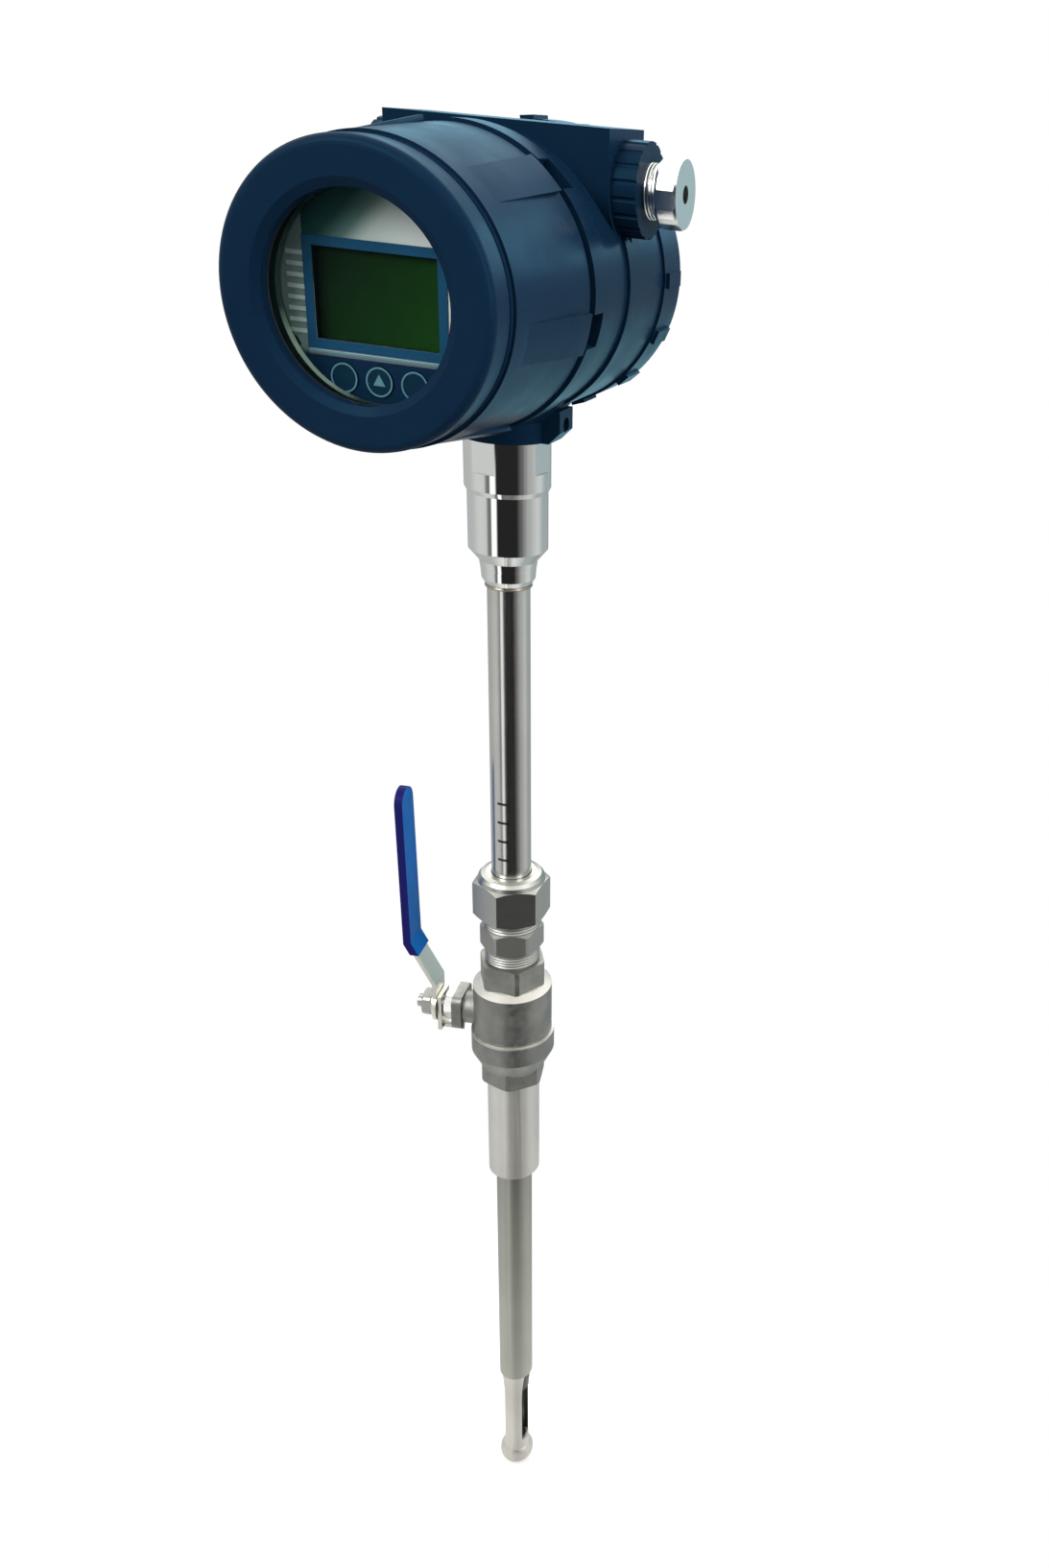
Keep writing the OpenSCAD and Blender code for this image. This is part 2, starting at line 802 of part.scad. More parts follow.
module sensor_shield() {
  steps = 8;
  flare_start = slot_end - flare_lead;
  nose_angle = 35;
  nose_edge_r = shield_nose_r * cos(nose_angle);
  nose_edge_z = shield_nose_z - shield_nose_r * sin(nose_angle);
  taper = [for (i = [0 : steps])
    [shield_waist_r + (shield_top_r - shield_waist_r) * pow(1 - i / steps, 2),
     -tube_below - shield_taper_h * i / steps]];
  flare = [for (i = [0 : steps])
    [shield_waist_r + (nose_edge_r - shield_waist_r) * pow(i / steps, 2),
     -tube_below - flare_start - (nose_edge_z - flare_start) * i / steps]];
  color("silver")
    difference() {
      union() {
        rotate_extrude()
          polygon(concat([[0, -tube_below]], taper, flare, [[0, -tube_below - nose_edge_z]]));
        translate([0, 0, -tube_below - shield_nose_z]) sphere(r = shield_nose_r);
      }
      translate([0, 0, -tube_below - slot_end]) cylinder(r = shield_bore_r, h = slot_end + cut);
      translate([-shield_nose_r, -window_slot_w / 2, -tube_below - slot_end])
        cube([2 * shield_nose_r, window_slot_w, window_slot_h]);
    }
}

// Neck adapter: welded to the tube, with its spigot inside the head's boss

spigot_r = 14;
spigot_h = 15;
neck_bore_r = 8;
neck_waist_r = 12.8;
neck_collar_r = 11.8;
flange_chamfer_h = 2.2;
neck_flat_turn = -10;
feed_h = 12;

module neck_adapter() {
  top = boss_z + spigot_h;
  waist_mid = (neck_waist_r + 2 * neck_collar_r) / 3;
  color("silver")
    difference() {
      rotate_extrude()
        polygon([[0, neck_z], [tube_r + close_gap, neck_z], [neck_collar_r, neck_waist_z],
                 [waist_mid, neck_waist_z + waist_h / 2], [neck_waist_r, neck_cone_z],
                 [neck_r, neck_cyl_z], [neck_r, neck_flange_z - flange_chamfer_h],
                 [flange_r, neck_flange_z], [flange_r, boss_z], [spigot_r, boss_z],
                 [spigot_r, top], [0, top]]);
      translate([0, 0, neck_z - cut])
        cylinder(r = tube_r + close_gap, h = tube_top - neck_z + cut);
      translate([0, 0, neck_z]) cylinder(r = neck_bore_r, h = top - neck_z + cut);
      for (a = [0 : 90 : 270])
        rotate(a + neck_flat_turn)
          translate([neck_flat_af / 2, -flange_r, boss_z - neck_flat_h])
            cube([flange_r, 2 * flange_r, neck_flat_h]);
    }
}

module cable_feedthrough() {
  top = boss_z + spigot_h;
  color("dimgray") translate([0, 0, top - feed_h]) cylinder(r = neck_bore_r - close_gap, h = feed_h);
}

module sensor_cable() {
  z0 = -tube_below + plug_h;
  color("beige")
    translate([0, 0, z0]) cylinder(r = cable_core_r, h = boss_z + spigot_h - feed_h - z0);
}

seal_w = 2;
seal_t = 1.8;

module neck_seal() {
  color("black")
    ring_z(spigot_r + close_gap + seal_w, spigot_r + close_gap, boss_z, boss_z + seal_t);
}

// Housing body: barrel with two rooms, top block, conduit hubs, boss and ear

collar_len = 13;
barrel_drop = 1.3;
barrel_step_y = -6.5;
cover_thread_in = 5.8;
cover_thread_r = body_r - cover_thread_in;
cover_turns = 6;
cover_thread_len = cover_turns * thread_pitch;
cover_bore_r = cover_thread_r + free_gap;
partition_y = -14;
partition_end = partition_y + partition_t;
lug_turn = 47;
recess_w = 13;
recess_len = 6;
recess_gap = 4;
recess_depth = 4;
boss_r2 = 19.5;
boss_cone_r = 30;
boss_cone_rise = 18.5;
boss_cone_drop = boss_drop - boss_cone_rise;
boss_cone_h = 10;
ear_x = 26.5;
ear_w = 14;
ear_h = 14;
ear_bevel = 5;
lock_hole_rise = 7.5;
lock_hole_r = 3;
wire_r = 7;
flute_r = 1.2;
flute_out = 0.5;
hub_edge = 0.5;
conduit_stop = 26;
hub_end = block_half + hub_len;
plug_end = block_left + hub_len;
lid_screw_r = 1.5;
lid_screw_in = 2.1;
lid_screw_at = body_r - lid_screw_in;
lid_screw_lug = 3;
lid_screw_turn = lug_turn + lid_screw_lug * 360 / front_lugs;
module_screw_x = 25;
module_screw_r = 2;
grip_depth_share = 0.68;
feed_r = 5;
feed_in = 15;
feed_z = feed_in - room_r;
ground_in = 6.6;
ground_turn = -38.7;
ground_x = (room_r - ground_in) * cos(ground_turn);
ground_z = (room_r - ground_in) * sin(ground_turn);
ground_r = 2;

module recess(turn, y0, len = recess_len) {
  on_head()
    head_turn(turn)
      translate([body_r - recess_depth, -recess_w / 2, y0])
        cube([2 * recess_depth, recess_w, len]);
}

module hub_flutes(start) {
  for (i = [0 : flutes - 1])
    rotate(i * 360 / flutes)
      translate([hub_r + flute_out, 0, start + hub_edge])
        cylinder(r = flute_r, h = hub_len + cut);
}

module lid_screw_way(r, y0, y1) {
  on_head() head_turn(lid_screw_turn) translate([lid_screw_at, 0, y0]) cylinder(r = r, h = y1 - y0);
}

module housing_body() {
  lock_z = boss_z + lock_hole_rise;
  color("slategray")
    difference() {
      union() {
        ring_y(body_r, room_r - cut, -front_seam, -front_seam + collar_len);
        on_head() translate([0, 0, -front_seam])
          cylinder(r = body_r - barrel_drop, h = front_seam + rear_seam);
        on_head() translate([0, 0, barrel_step_y])
          cylinder(r = body_r, h = rear_seam - barrel_step_y);
        on_head() translate([0, 0, -front_seam - cover_thread_len])
          cylinder(r = cover_thread_r, h = front_seam + rear_seam + 2 * cover_thread_len);
        translate([-block_left, -block_depth, head_z + conduit_rise])
          cube([block_left + block_half, 2 * block_depth, block_top - conduit_rise]);
        on_conduit() translate([0, 0, -block_left])
          cylinder(r = block_depth, h = block_left + block_half);
        on_conduit() translate([0, 0, -plug_end]) cylinder(r = hub_r, h = plug_end + hub_end);
        translate([0, 0, head_z - boss_cone_drop - boss_cone_h])
          cylinder(r1 = boss_r2, r2 = boss_cone_r, h = boss_cone_h);
        translate([0, 0, boss_z]) cylinder(r = boss_r2, h = boss_drop - boss_cone_drop);
        rotate([90, 0, 0])
          linear_extrude(ear_w, center = true)
            polygon([[0, boss_z], [ear_x - ear_bevel, boss_z], [ear_x, boss_z + ear_bevel],
                     [ear_x, boss_z + ear_h], [0, boss_z + ear_h]]);
      }
      on_head() translate([0, 0, -front_seam - cover_thread_len - cut])
        cylinder(r = room_r, h = front_seam + cover_thread_len + cut + partition_y);
      on_head() translate([0, 0, partition_end])
        cylinder(r = room_r, h = rear_seam - partition_end + cover_thread_len + cut);
      recess(lid_screw_turn, -front_seam + recess_gap);
      for (i = [0 : front_lugs - 1])
        if (i != lid_screw_lug)
          recess(lug_turn + i * 360 / front_lugs, -front_seam - cut, recess_gap + recess_len);
      recess(lid_screw_turn, rear_seam - recess_gap - recess_len);
      lid_screw_way(lid_screw_r + close_gap, -front_seam - cut, -front_seam + recess_gap + cut);
      lid_screw_way(lid_screw_r + close_gap, rear_seam - recess_gap - cut, rear_seam + cut);
      on_conduit() {
        hub_flutes(block_half);
        mirror([0, 0, 1]) hub_flutes(block_left);
        translate([0, 0, conduit_stop]) cylinder(r = conduit_r, h = hub_end - conduit_stop + cut);
        translate([0, 0, -plug_end - cut])
          cylinder(r = conduit_r, h = plug_end - conduit_stop + cut);
      }
      translate([0, 0, boss_z - cut]) cylinder(r = spigot_r + close_gap, h = spigot_h + cut);
      translate([0, 0, boss_z - cut])
        cylinder(r = spigot_r + 2 * close_gap + seal_w, h = seal_t + cut);
      translate([0, 0, boss_z + spigot_h - cut]) cylinder(r = wire_r, h = boss_drop - room_r);
      translate([spigot_r - cut, 0, lock_z])
        rotate([0, 90, 0]) cylinder(r = lock_hole_r + close_gap, h = ear_x);
      for (s = [-1, 1])
        disc_y(module_screw_r + close_gap, partition_y - cut,
               partition_y + grip_depth_share * partition_t, s * module_screw_x);
      disc_y(feed_r + close_gap, partition_y - cut, partition_end + cut, 0, feed_z);
      disc_y(ground_r + close_gap, partition_end - grip_depth_share * partition_t,
             partition_end + cut, ground_x, ground_z);
    }
}

// Set screw in the ear that locks the head on the neck, with a hexagon socket

lock_screw_len = 10;
lock_socket_af = 3;
lock_socket_depth = 4;

module neck_lock_screw() {
  x0 = spigot_r + close_gap;
  color("dimgray")
    translate([x0, 0, boss_z + lock_hole_rise])
      rotate([0, 90, 0])
        difference() {
          cylinder(r = lock_hole_r, h = lock_screw_len);
          translate([0, 0, lock_screw_len - lock_socket_depth])
            cylinder(d = lock_socket_af / cos(30), h = lock_socket_depth + cut, $fn = 6);
        }
}

// Lock screws of the two covers, both turned back into their recesses

lid_screw_back = 0.3;
lid_screw_len = 6;
lid_socket_af = 1.5;
lid_socket_depth = 2;

module lid_screw(y0, socket_y) {
  difference() {
    lid_screw_way(lid_screw_r, y0, y0 + lid_screw_len);
    on_head() head_turn(lid_screw_turn) translate([lid_screw_at, 0, socket_y])
      cylinder(d = lid_socket_af / cos(30), h = lid_socket_depth + cut, $fn = 6);
  }
}

module cover_lock_screws() {
  front = -front_seam + lid_screw_back;
  rear = rear_seam - lid_screw_back - lid_screw_len;
  color("silver") {
    lid_screw(front, front + lid_screw_len - lid_socket_depth);
    lid_screw(rear, rear - cut);
  }
}

// Front cover: threaded rim, cone, bead and bevelled window, with wrench lugs at the rim

cone_end_rise = 1.2;
step_rise = 0.15;
groove_drop = 0.25;
bead_len = 13;
groove_len = 0.7;
step_len = 2;
edge_round = 3.5;
bevel_h = 2;
bevel_w = 3;
lip_len = 6;
glass_over = 5;
glass_r = window_r + glass_over;
pocket_len = 15;
seam_gap = 2.2;
cover_end = -front_seam - seam_gap;
lug_half = 8;
lug_lead = 8;
lug_stop = 2.8;
lug_sink = 0.1;
lug_over = 0.9;
lug_r = body_r + lug_over;
oring_w = 1.8;
oring_t = 2;
oring_groove = oring_t + free_gap;
oring_r = cover_thread_r + run_gap;
front_y = -front_seam - front_cover_len;
lip_y = front_y + lip_len;
shelf_y = front_y + pocket_len;
gasket_t = 0.8;
glass_t = 5.4;
glass_y = lip_y + gasket_t;
glass_end = glass_y + glass_t;

// Wedge about the head's axis
module wedge(half, r, y0, y1) {
  translate([0, 0, y0])
    linear_extrude(y1 - y0)
      polygon([[0, 0], [r, -r * tan(half)], [r, r * tan(half)]]);
}

bead_y = front_y + bead_len;
cone_y = bead_y + groove_len + step_len;
cone_r = bezel_r + cone_end_rise;

module front_cover_blank() {
  steps = 6;
  edge = [for (i = [0 : steps])
    [bezel_r - edge_round * (1 - cos(90 * i / steps)), front_y + edge_round * (1 - sin(90 * i / steps))]];
  rotate_extrude()
    polygon(concat([[0, cover_end], [cover_rim_r, cover_end],
                    [cone_r, cone_y], [bezel_r + step_rise, cone_y],
                    [bezel_r + step_rise, bead_y + groove_len],
                    [bezel_r - groove_drop, bead_y + groove_len], [bezel_r - groove_drop, bead_y],
                    [bezel_r, bead_y]], edge, [[0, front_y]]));
}

module front_cover_lugs() {
  y0 = cone_y + lug_lead;
  y1 = cover_end - lug_stop;
  root_r = (room_r + bezel_r) / 2;
  start_r = cone_r + (cover_rim_r - cone_r) * lug_lead / (cover_end - cone_y) - lug_sink;
  intersection() {
    rotate_extrude() polygon([[root_r, y0], [start_r, y0], [lug_r, y1], [root_r, y1]]);
    union()
      for (i = [0 : front_lugs - 1])
        head_turn(lug_turn + i * 360 / front_lugs)
          wedge(lug_half, 2 * body_r, y0 - cut, y1 + cut);
  }
}

module front_cover() {
  thread_start = -front_seam - cover_thread_len - cut;
  color("steelblue")
    on_head()
      difference() {
        union() {
          front_cover_blank();
          front_cover_lugs();
        }
        translate([0, 0, thread_start]) cylinder(r = cover_bore_r, h = cover_thread_len + 2 * cut);
        translate([0, 0, shelf_y]) cylinder(r = room_r, h = thread_start - shelf_y + cut);
        translate([0, 0, lip_y]) cylinder(r = glass_r + 2 * close_gap, h = shelf_y - lip_y + cut);
        translate([0, 0, front_y - cut]) cylinder(r = window_r, h = lip_len + 2 * cut);
        translate([0, 0, front_y])
          cylinder(r1 = window_r + bevel_w, r2 = window_r, h = bevel_h);
      }
}

module front_cover_oring() {
  color("black")
    ring_y(oring_r + oring_w, oring_r, -front_seam - oring_t, -front_seam);
}

module window_gasket() {
  color("black") ring_y(glass_r, window_r + close_gap, lip_y, glass_y);
}

module window_glass() {
  color("lightcyan") disc_y(glass_r, glass_y, glass_end);
}

ring_wall = 4;

module window_retaining_ring() {
  color("silver") ring_y(glass_r, glass_r - ring_wall, glass_end, shelf_y);
}

// Rear cover: closed, with small wrench lugs all round

rear_edge = 4;
rear_wall = 5;
rear_lug_w = 6;
rear_lug_h = 1.4;
rear_lug_len = 15;
rear_lug_start = 2;

module rear_cover() {
  end_y = rear_seam + rear_cover_len;
  thread_end = rear_seam + cover_thread_len + cut;
  steps = 4;
  edge = [for (i = [0 : steps])
    [rear_cover_r - rear_edge * (1 - cos(90 * i / steps)),
     end_y - rear_edge * (1 - sin(90 * i / steps))]];
  color("steelblue")
    on_head()
      difference() {
        union() {
          rotate_extrude()
            polygon(concat([[0, rear_seam], [rear_cover_r, rear_seam]], edge, [[0, end_y]]));
          for (i = [0 : rear_lugs - 1])
            head_turn(i * 360 / rear_lugs)
              translate([cover_bore_r + cut, -rear_lug_w / 2, rear_seam + rear_lug_start])
                cube([rear_cover_r + rear_lug_h - cover_bore_r - cut, rear_lug_w, rear_lug_len]);
        }
        translate([0, 0, rear_seam - cut])
          cylinder(r = cover_bore_r, h = thread_end - rear_seam + cut);
        translate([0, 0, rear_seam - cut])
          cylinder(r = oring_r + oring_w + run_gap, h = oring_groove + cut);
        translate([0, 0, thread_end - cut])
          cylinder(r = room_r, h = end_y - rear_wall - thread_end + cut);
      }
}

module rear_cover_oring() {
  color("black") ring_y(oring_r + oring_w, oring_r, rear_seam, rear_seam + oring_t);
}

// Display: faceplate with its screen frame, keys, board and standoffs

plate_in = 4;
plate_r = room_r - plate_in;
plate_t = 2;
lcd_w = plate_r * lcd_w_share;
lcd_h = plate_r * lcd_h_share;
key_d = plate_r * key_d_share;
key_pitch = plate_r * key_pitch_share;
key_drop_share = 0.683;
plate_y = -face_front;
plate_back = plate_y + plate_t;
lcd_z = -1;
frame_w = 3.2;
frame_t = 0.5;
panel_over = 2;
panel_t = 4;
board_t = 1.6;
board_y = plate_back + panel_t;
board_back = board_y + board_t;
board_in = 1;
board_r = plate_r - board_in;
key_r = key_d / 2;
key_z = -plate_r * key_drop_share;
key_rise = 0.6;
key_flange_w = 0.9;
key_flange_t = 1;
key_stem_r = 2;
key_rest_gap = 0.1;
pad_film_t = 1;
key_back = panel_t - pad_film_t - key_travel - key_rest_gap;
pad_film_over = 1.5;
pad_film_end = 2.7;
pad_film_h = key_d + 2 * pad_film_over;
pad_film_w = 2 * key_pitch + key_d + 2 * pad_film_end;
rib_w = 6.4;
rib_x = -lcd_w / 2 - frame_w - rib_w / 2;
rib_first = -14;
rib_pitch = 3.6;
rib_h = 1.4;
rib_t = 0.4;
rib_count = 8;
face_screw_in = 4.5;
face_screw_at = plate_r - face_screw_in;
face_screw_r = 1.25;
face_head_r = 2.3;
face_head_t = 1;
face_screw_depth = 6;
face_turn = 90;
face_screws = 3;
standoff_r = 3;

// Three places round the faceplate
module at_face_screws() {
  on_head()
    for (i = [0 : face_screws - 1])
      head_turn(face_turn + i * 360 / face_screws) translate([face_screw_at, 0, 0]) children();
}

module display_faceplate() {
  color("darkslategray")
    difference() {
      union() {
        disc_y(plate_r, plate_y, plate_back);
        for (i = [0 : rib_count - 1])
          box_y(rib_w, rib_h, plate_y - rib_t, plate_y, rib_x, rib_first + i * rib_pitch);
      }
      box_y(lcd_w, lcd_h, plate_y - cut, plate_back + cut, 0, lcd_z);
      for (s = [-1 : 1]) disc_y(key_r + free_gap, plate_y - cut, plate_back + cut, s * key_pitch, key_z);
      at_face_screws() {
        translate([0, 0, plate_y - cut]) cylinder(r = face_screw_r + close_gap, h = plate_t + 2 * cut);
        translate([0, 0, plate_y - cut]) cylinder(r = face_head_r + close_gap, h = face_head_t + cut);
      }
    }
}

module lcd_frame() {
  color("royalblue")
    difference() {
      box_y(lcd_w + 2 * frame_w, lcd_h + 2 * frame_w, plate_y - frame_t, plate_y, 0, lcd_z);
      box_y(lcd_w, lcd_h, plate_y - frame_t - cut, plate_y + cut, 0, lcd_z);
    }
}

module lcd_panel() {
  color("darkgreen")
    box_y(lcd_w + 2 * panel_over, lcd_h + 2 * panel_over, plate_back, board_y, 0, lcd_z);
}

module key(side) {
  flange_y = plate_back + free_gap;
  color("lightsteelblue") {
    disc_y(key_r, plate_y - key_rise, flange_y, side * key_pitch, key_z);
    disc_y(key_r + key_flange_w, flange_y, flange_y + key_flange_t, side * key_pitch, key_z);
    disc_y(key_stem_r, flange_y + key_flange_t, plate_back + key_back, side * key_pitch, key_z);
  }
}

module key_left() {
  key(-1);
}

module key_middle() {
  key(0);
}

module key_right() {
  key(1);
}

module key_pad() {
  color("gray") box_y(pad_film_w, pad_film_h, board_y - pad_film_t, board_y, 0, key_z);
}

module display_board() {
  color("darkgreen")
    difference() {
      disc_y(board_r, board_y, board_back);
      at_face_screws()
        translate([0, 0, board_y - cut]) cylinder(r = face_screw_r + close_gap, h = board_t + 2 * cut);
    }
}

cup_in = 2;
cup_r = room_r - cup_in;
cup_t = 2;
cup_y = -62;

module display_standoffs() {
  color("silver")
    at_face_screws()
      difference() {
        translate([0, 0, board_back]) cylinder(r = standoff_r, h = cup_y - board_back, $fn = 6);
        translate([0, 0, board_back - cut])
          cylinder(r = face_screw_r + close_gap, h = face_screw_depth + cut);
      }
}

module display_screws() {
  color("silver")
    at_face_screws() {
      translate([0, 0, plate_y]) cylinder(r = face_head_r, h = face_head_t);
      translate([0, 0, plate_y + face_head_t])
        cylinder(r = face_screw_r, h = board_back - plate_y + face_screw_depth - 2 * face_head_t);
    }
}

// Electronics behind the display: cup on the partition, two boards, screws and feedthrough

main_board_y = -52;
power_board_y = -32;
module_head_r = 3.5;
module_head_t = 3;
feed_over = 6;

module electronics_cup() {
  color("black")
    difference() {
      disc_y(cup_r, cup_y, partition_y);
      disc_y(cup_r - cup_t, cup_y + cup_t, partition_y + cut);
      for (s = [-1, 1])
        disc_y(module_screw_r + close_gap, cup_y - cut, cup_y + cup_t + cut, s * module_screw_x);
    }
}

module round_board(y0) {
  color("darkgreen")
    difference() {
      disc_y(cup_r - cup_t - close_gap, y0, y0 + board_t);
      for (s = [-1, 1])
        disc_y(module_screw_r + close_gap, y0 - cut, y0 + board_t + cut, s * module_screw_x);
    }
}

module main_board() {
  round_board(main_board_y);
}

module power_board() {
  round_board(power_board_y);
}

module module_screws() {
  end_y = partition_y + grip_depth_share * partition_t - free_gap;
  color("silver")
    for (s = [-1, 1]) {
      disc_y(module_head_r, cup_y - module_head_t, cup_y, s * module_screw_x);
      disc_y(module_screw_r, cup_y, end_y, s * module_screw_x);
    }
}

module partition_feedthrough() {
  color("dimgray") disc_y(feed_r, partition_y - feed_over, partition_end + feed_over, 0, feed_z);
}

// Terminals in the rear room

terminal_w = 60;
terminal_h = 24;
terminal_d = 17;
terminal_count = 6;
terminal_pitch = 9;
terminal_screw_r = 2.6;
terminal_screw_sink = 4;
terminal_screw_t = 3;
wire_hole_r = 1.8;
wire_hole_drop = 7;
ground_head_r = 4;
ground_head_t = 3;

module at_terminals() {
  for (i = [0 : terminal_count - 1])
    translate([(i - (terminal_count - 1) / 2) * terminal_pitch, 0, 0]) children();
}

module terminal_block() {
  end_y = partition_end + terminal_d;
  color("black")
    difference() {
      box_y(terminal_w, terminal_h, partition_end, end_y);
      at_terminals() {
        disc_y(terminal_screw_r + close_gap, end_y - terminal_screw_sink, end_y + cut);
        disc_y(wire_hole_r, partition_end + wire_hole_drop, end_y + cut, 0, -wire_hole_drop);
      }
    }
}

module terminal_screws() {
  y0 = partition_end + terminal_d - terminal_screw_sink;
  color("silver") at_terminals() disc_y(terminal_screw_r, y0, y0 + terminal_screw_t);
}

module ground_screw() {
  y0 = partition_end - grip_depth_share * partition_t + free_gap;
  color("gold") {
    disc_y(ground_r, y0, partition_end, ground_x, ground_z);
    disc_y(ground_head_r, partition_end, partition_end + ground_head_t, ground_x, ground_z);
  }
}

// Conduit entries: plug on the left, cable gland on the right

entry_r = conduit_r - close_gap;
plug_engage = 14;
plug_head_r = 13;
plug_head_t = 3;
plug_socket_af = 8;
plug_socket_depth = 7;

module blanking_plug() {
  color("silver")
    on_conduit()
      mirror([0, 0, 1])
        difference() {
          union() {
            translate([0, 0, plug_end - plug_engage]) cylinder(r = entry_r, h = plug_engage);
            translate([0, 0, plug_end]) cylinder(r = plug_head_r, h = plug_head_t);
          }
          translate([0, 0, plug_end + plug_head_t - plug_socket_depth])
            cylinder(d = plug_socket_af / cos(30), h = plug_socket_depth + cut, $fn = 6);
        }
}

gland_engage = 16;
gland_thread_gap = 5.5;
gland_thread_in = 5;
gland_bore_r = 6.5;
gland_seal_len = 11;
gland_nut_h = 8.5;
gland_edge = 0.5;
gland_chamfer = 1;
gland_turn = 10;
gland_nut_x = hub_end + gland_thread_gap;
gland_end = gland_nut_x + gland_thread_in;

module gland_body() {
  color("silver")
    on_conduit()
      difference() {
        translate([0, 0, hub_end - gland_engage])
          cylinder(r = entry_r, h = gland_end - hub_end + gland_engage);
        translate([0, 0, hub_end - gland_engage - cut])
          cylinder(r = gland_bore_r, h = gland_end - hub_end + gland_engage + 2 * cut);
      }
}

module gland_seal() {
  color("black")
    on_conduit()
      ring_z(gland_bore_r - close_gap, cable_r, gland_end - gland_seal_len, gland_end);
}

module gland_nut() {
  color("silver")
    on_conduit()
      difference() {
        hex_z(gland_af, gland_af / 2 + gland_edge, gland_nut_x, gland_nut_x + gland_nut_h,
              gland_chamfer, gland_turn);
        translate([0, 0, gland_nut_x - cut])
          cylinder(r = entry_r + close_gap, h = gland_thread_in + cut);
        translate([0, 0, gland_nut_x]) cylinder(r = cable_r + free_gap, h = gland_nut_h + cut);
      }
}

process_nipple();
valve_end_cap();
valve_body();
body_seal();
valve_seats();
valve_ball();
valve_stem();
stem_washer();
stem_packing();
packing_nut();
lever();
lever_grip();
lever_washer();
lever_nut();
lock_slide();
fitting_body();
front_ferrule();
back_ferrule();
compression_nut();
probe_tube();
sensor_plug();
heated_pin();
reference_pin();
sensor_shield();
sensor_cable();
neck_adapter();
neck_seal();
neck_lock_screw();
cable_feedthrough();
housing_body();
front_cover();
front_cover_oring();
window_gasket();
window_glass();
window_retaining_ring();
rear_cover();
rear_cover_oring();
cover_lock_screws();
display_faceplate();
lcd_frame();
lcd_panel();
key_left();
key_middle();
key_right();
key_pad();
display_board();
display_standoffs();
display_screws();
electronics_cup();
main_board();
power_board();
module_screws();
partition_feedthrough();
terminal_block();
terminal_screws();
ground_screw();
blanking_plug();
gland_body();
gland_seal();
gland_nut();
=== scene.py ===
# %% [markdown]
# This lesson dresses a thermal mass flow meter: a display head on a long probe tube, held in a
# ball valve. The solids come packed and fixed, one object to each real piece, in metres. Here they
# get their finishes, and the small details that a solid leaves out get pieces of their own.

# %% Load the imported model
import math

import bpy
from mathutils import Matrix, Vector


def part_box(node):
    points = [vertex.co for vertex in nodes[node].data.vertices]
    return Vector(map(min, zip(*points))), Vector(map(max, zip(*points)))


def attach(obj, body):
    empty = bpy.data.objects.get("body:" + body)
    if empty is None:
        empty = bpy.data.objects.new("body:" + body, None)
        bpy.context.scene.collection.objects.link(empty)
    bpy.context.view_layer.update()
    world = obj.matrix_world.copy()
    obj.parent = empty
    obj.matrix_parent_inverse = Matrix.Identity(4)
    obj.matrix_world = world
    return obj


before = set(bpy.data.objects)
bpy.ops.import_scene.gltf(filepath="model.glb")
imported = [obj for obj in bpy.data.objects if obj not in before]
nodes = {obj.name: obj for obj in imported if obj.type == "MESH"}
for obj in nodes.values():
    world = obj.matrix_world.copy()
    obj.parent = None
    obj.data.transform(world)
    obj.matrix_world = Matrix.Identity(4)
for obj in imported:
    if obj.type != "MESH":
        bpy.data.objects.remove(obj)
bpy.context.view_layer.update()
print("solids", len(nodes))

# %% [markdown]
# Every size below is in millimetres, as on a drawing, and MM turns it into Blender's metres. The
# heights are measured from the pipe stub's lower end, and the head's axis lies 460 mm above it.
# Operators act on all that is selected, and the solids come in selected, so each step deselects
# everything first.

# %% Units and selection
MM = 0.001
HEAD_Z = 460.0


def alone():
    """Leaves edit mode and deselects all, because an operator acts on all that is selected."""
    if bpy.context.object and bpy.context.object.mode != "OBJECT":
        bpy.ops.object.mode_set(mode="OBJECT")
    bpy.ops.object.select_all(action="DESELECT")


def make_active(piece):
    alone()
    piece.select_set(True)
    bpy.context.view_layer.objects.active = piece


print("head axis at", HEAD_Z, "mm")

# %% [markdown]
# Every finish, and the sky too, is a tree of nodes. By hand each node is added, set and wired. In
# Python that takes several lines a node, so this class holds one short call for each kind that the
# lesson needs. A call takes numbers or other nodes' outputs, and gives back its own output.

# %% Short calls for nodes


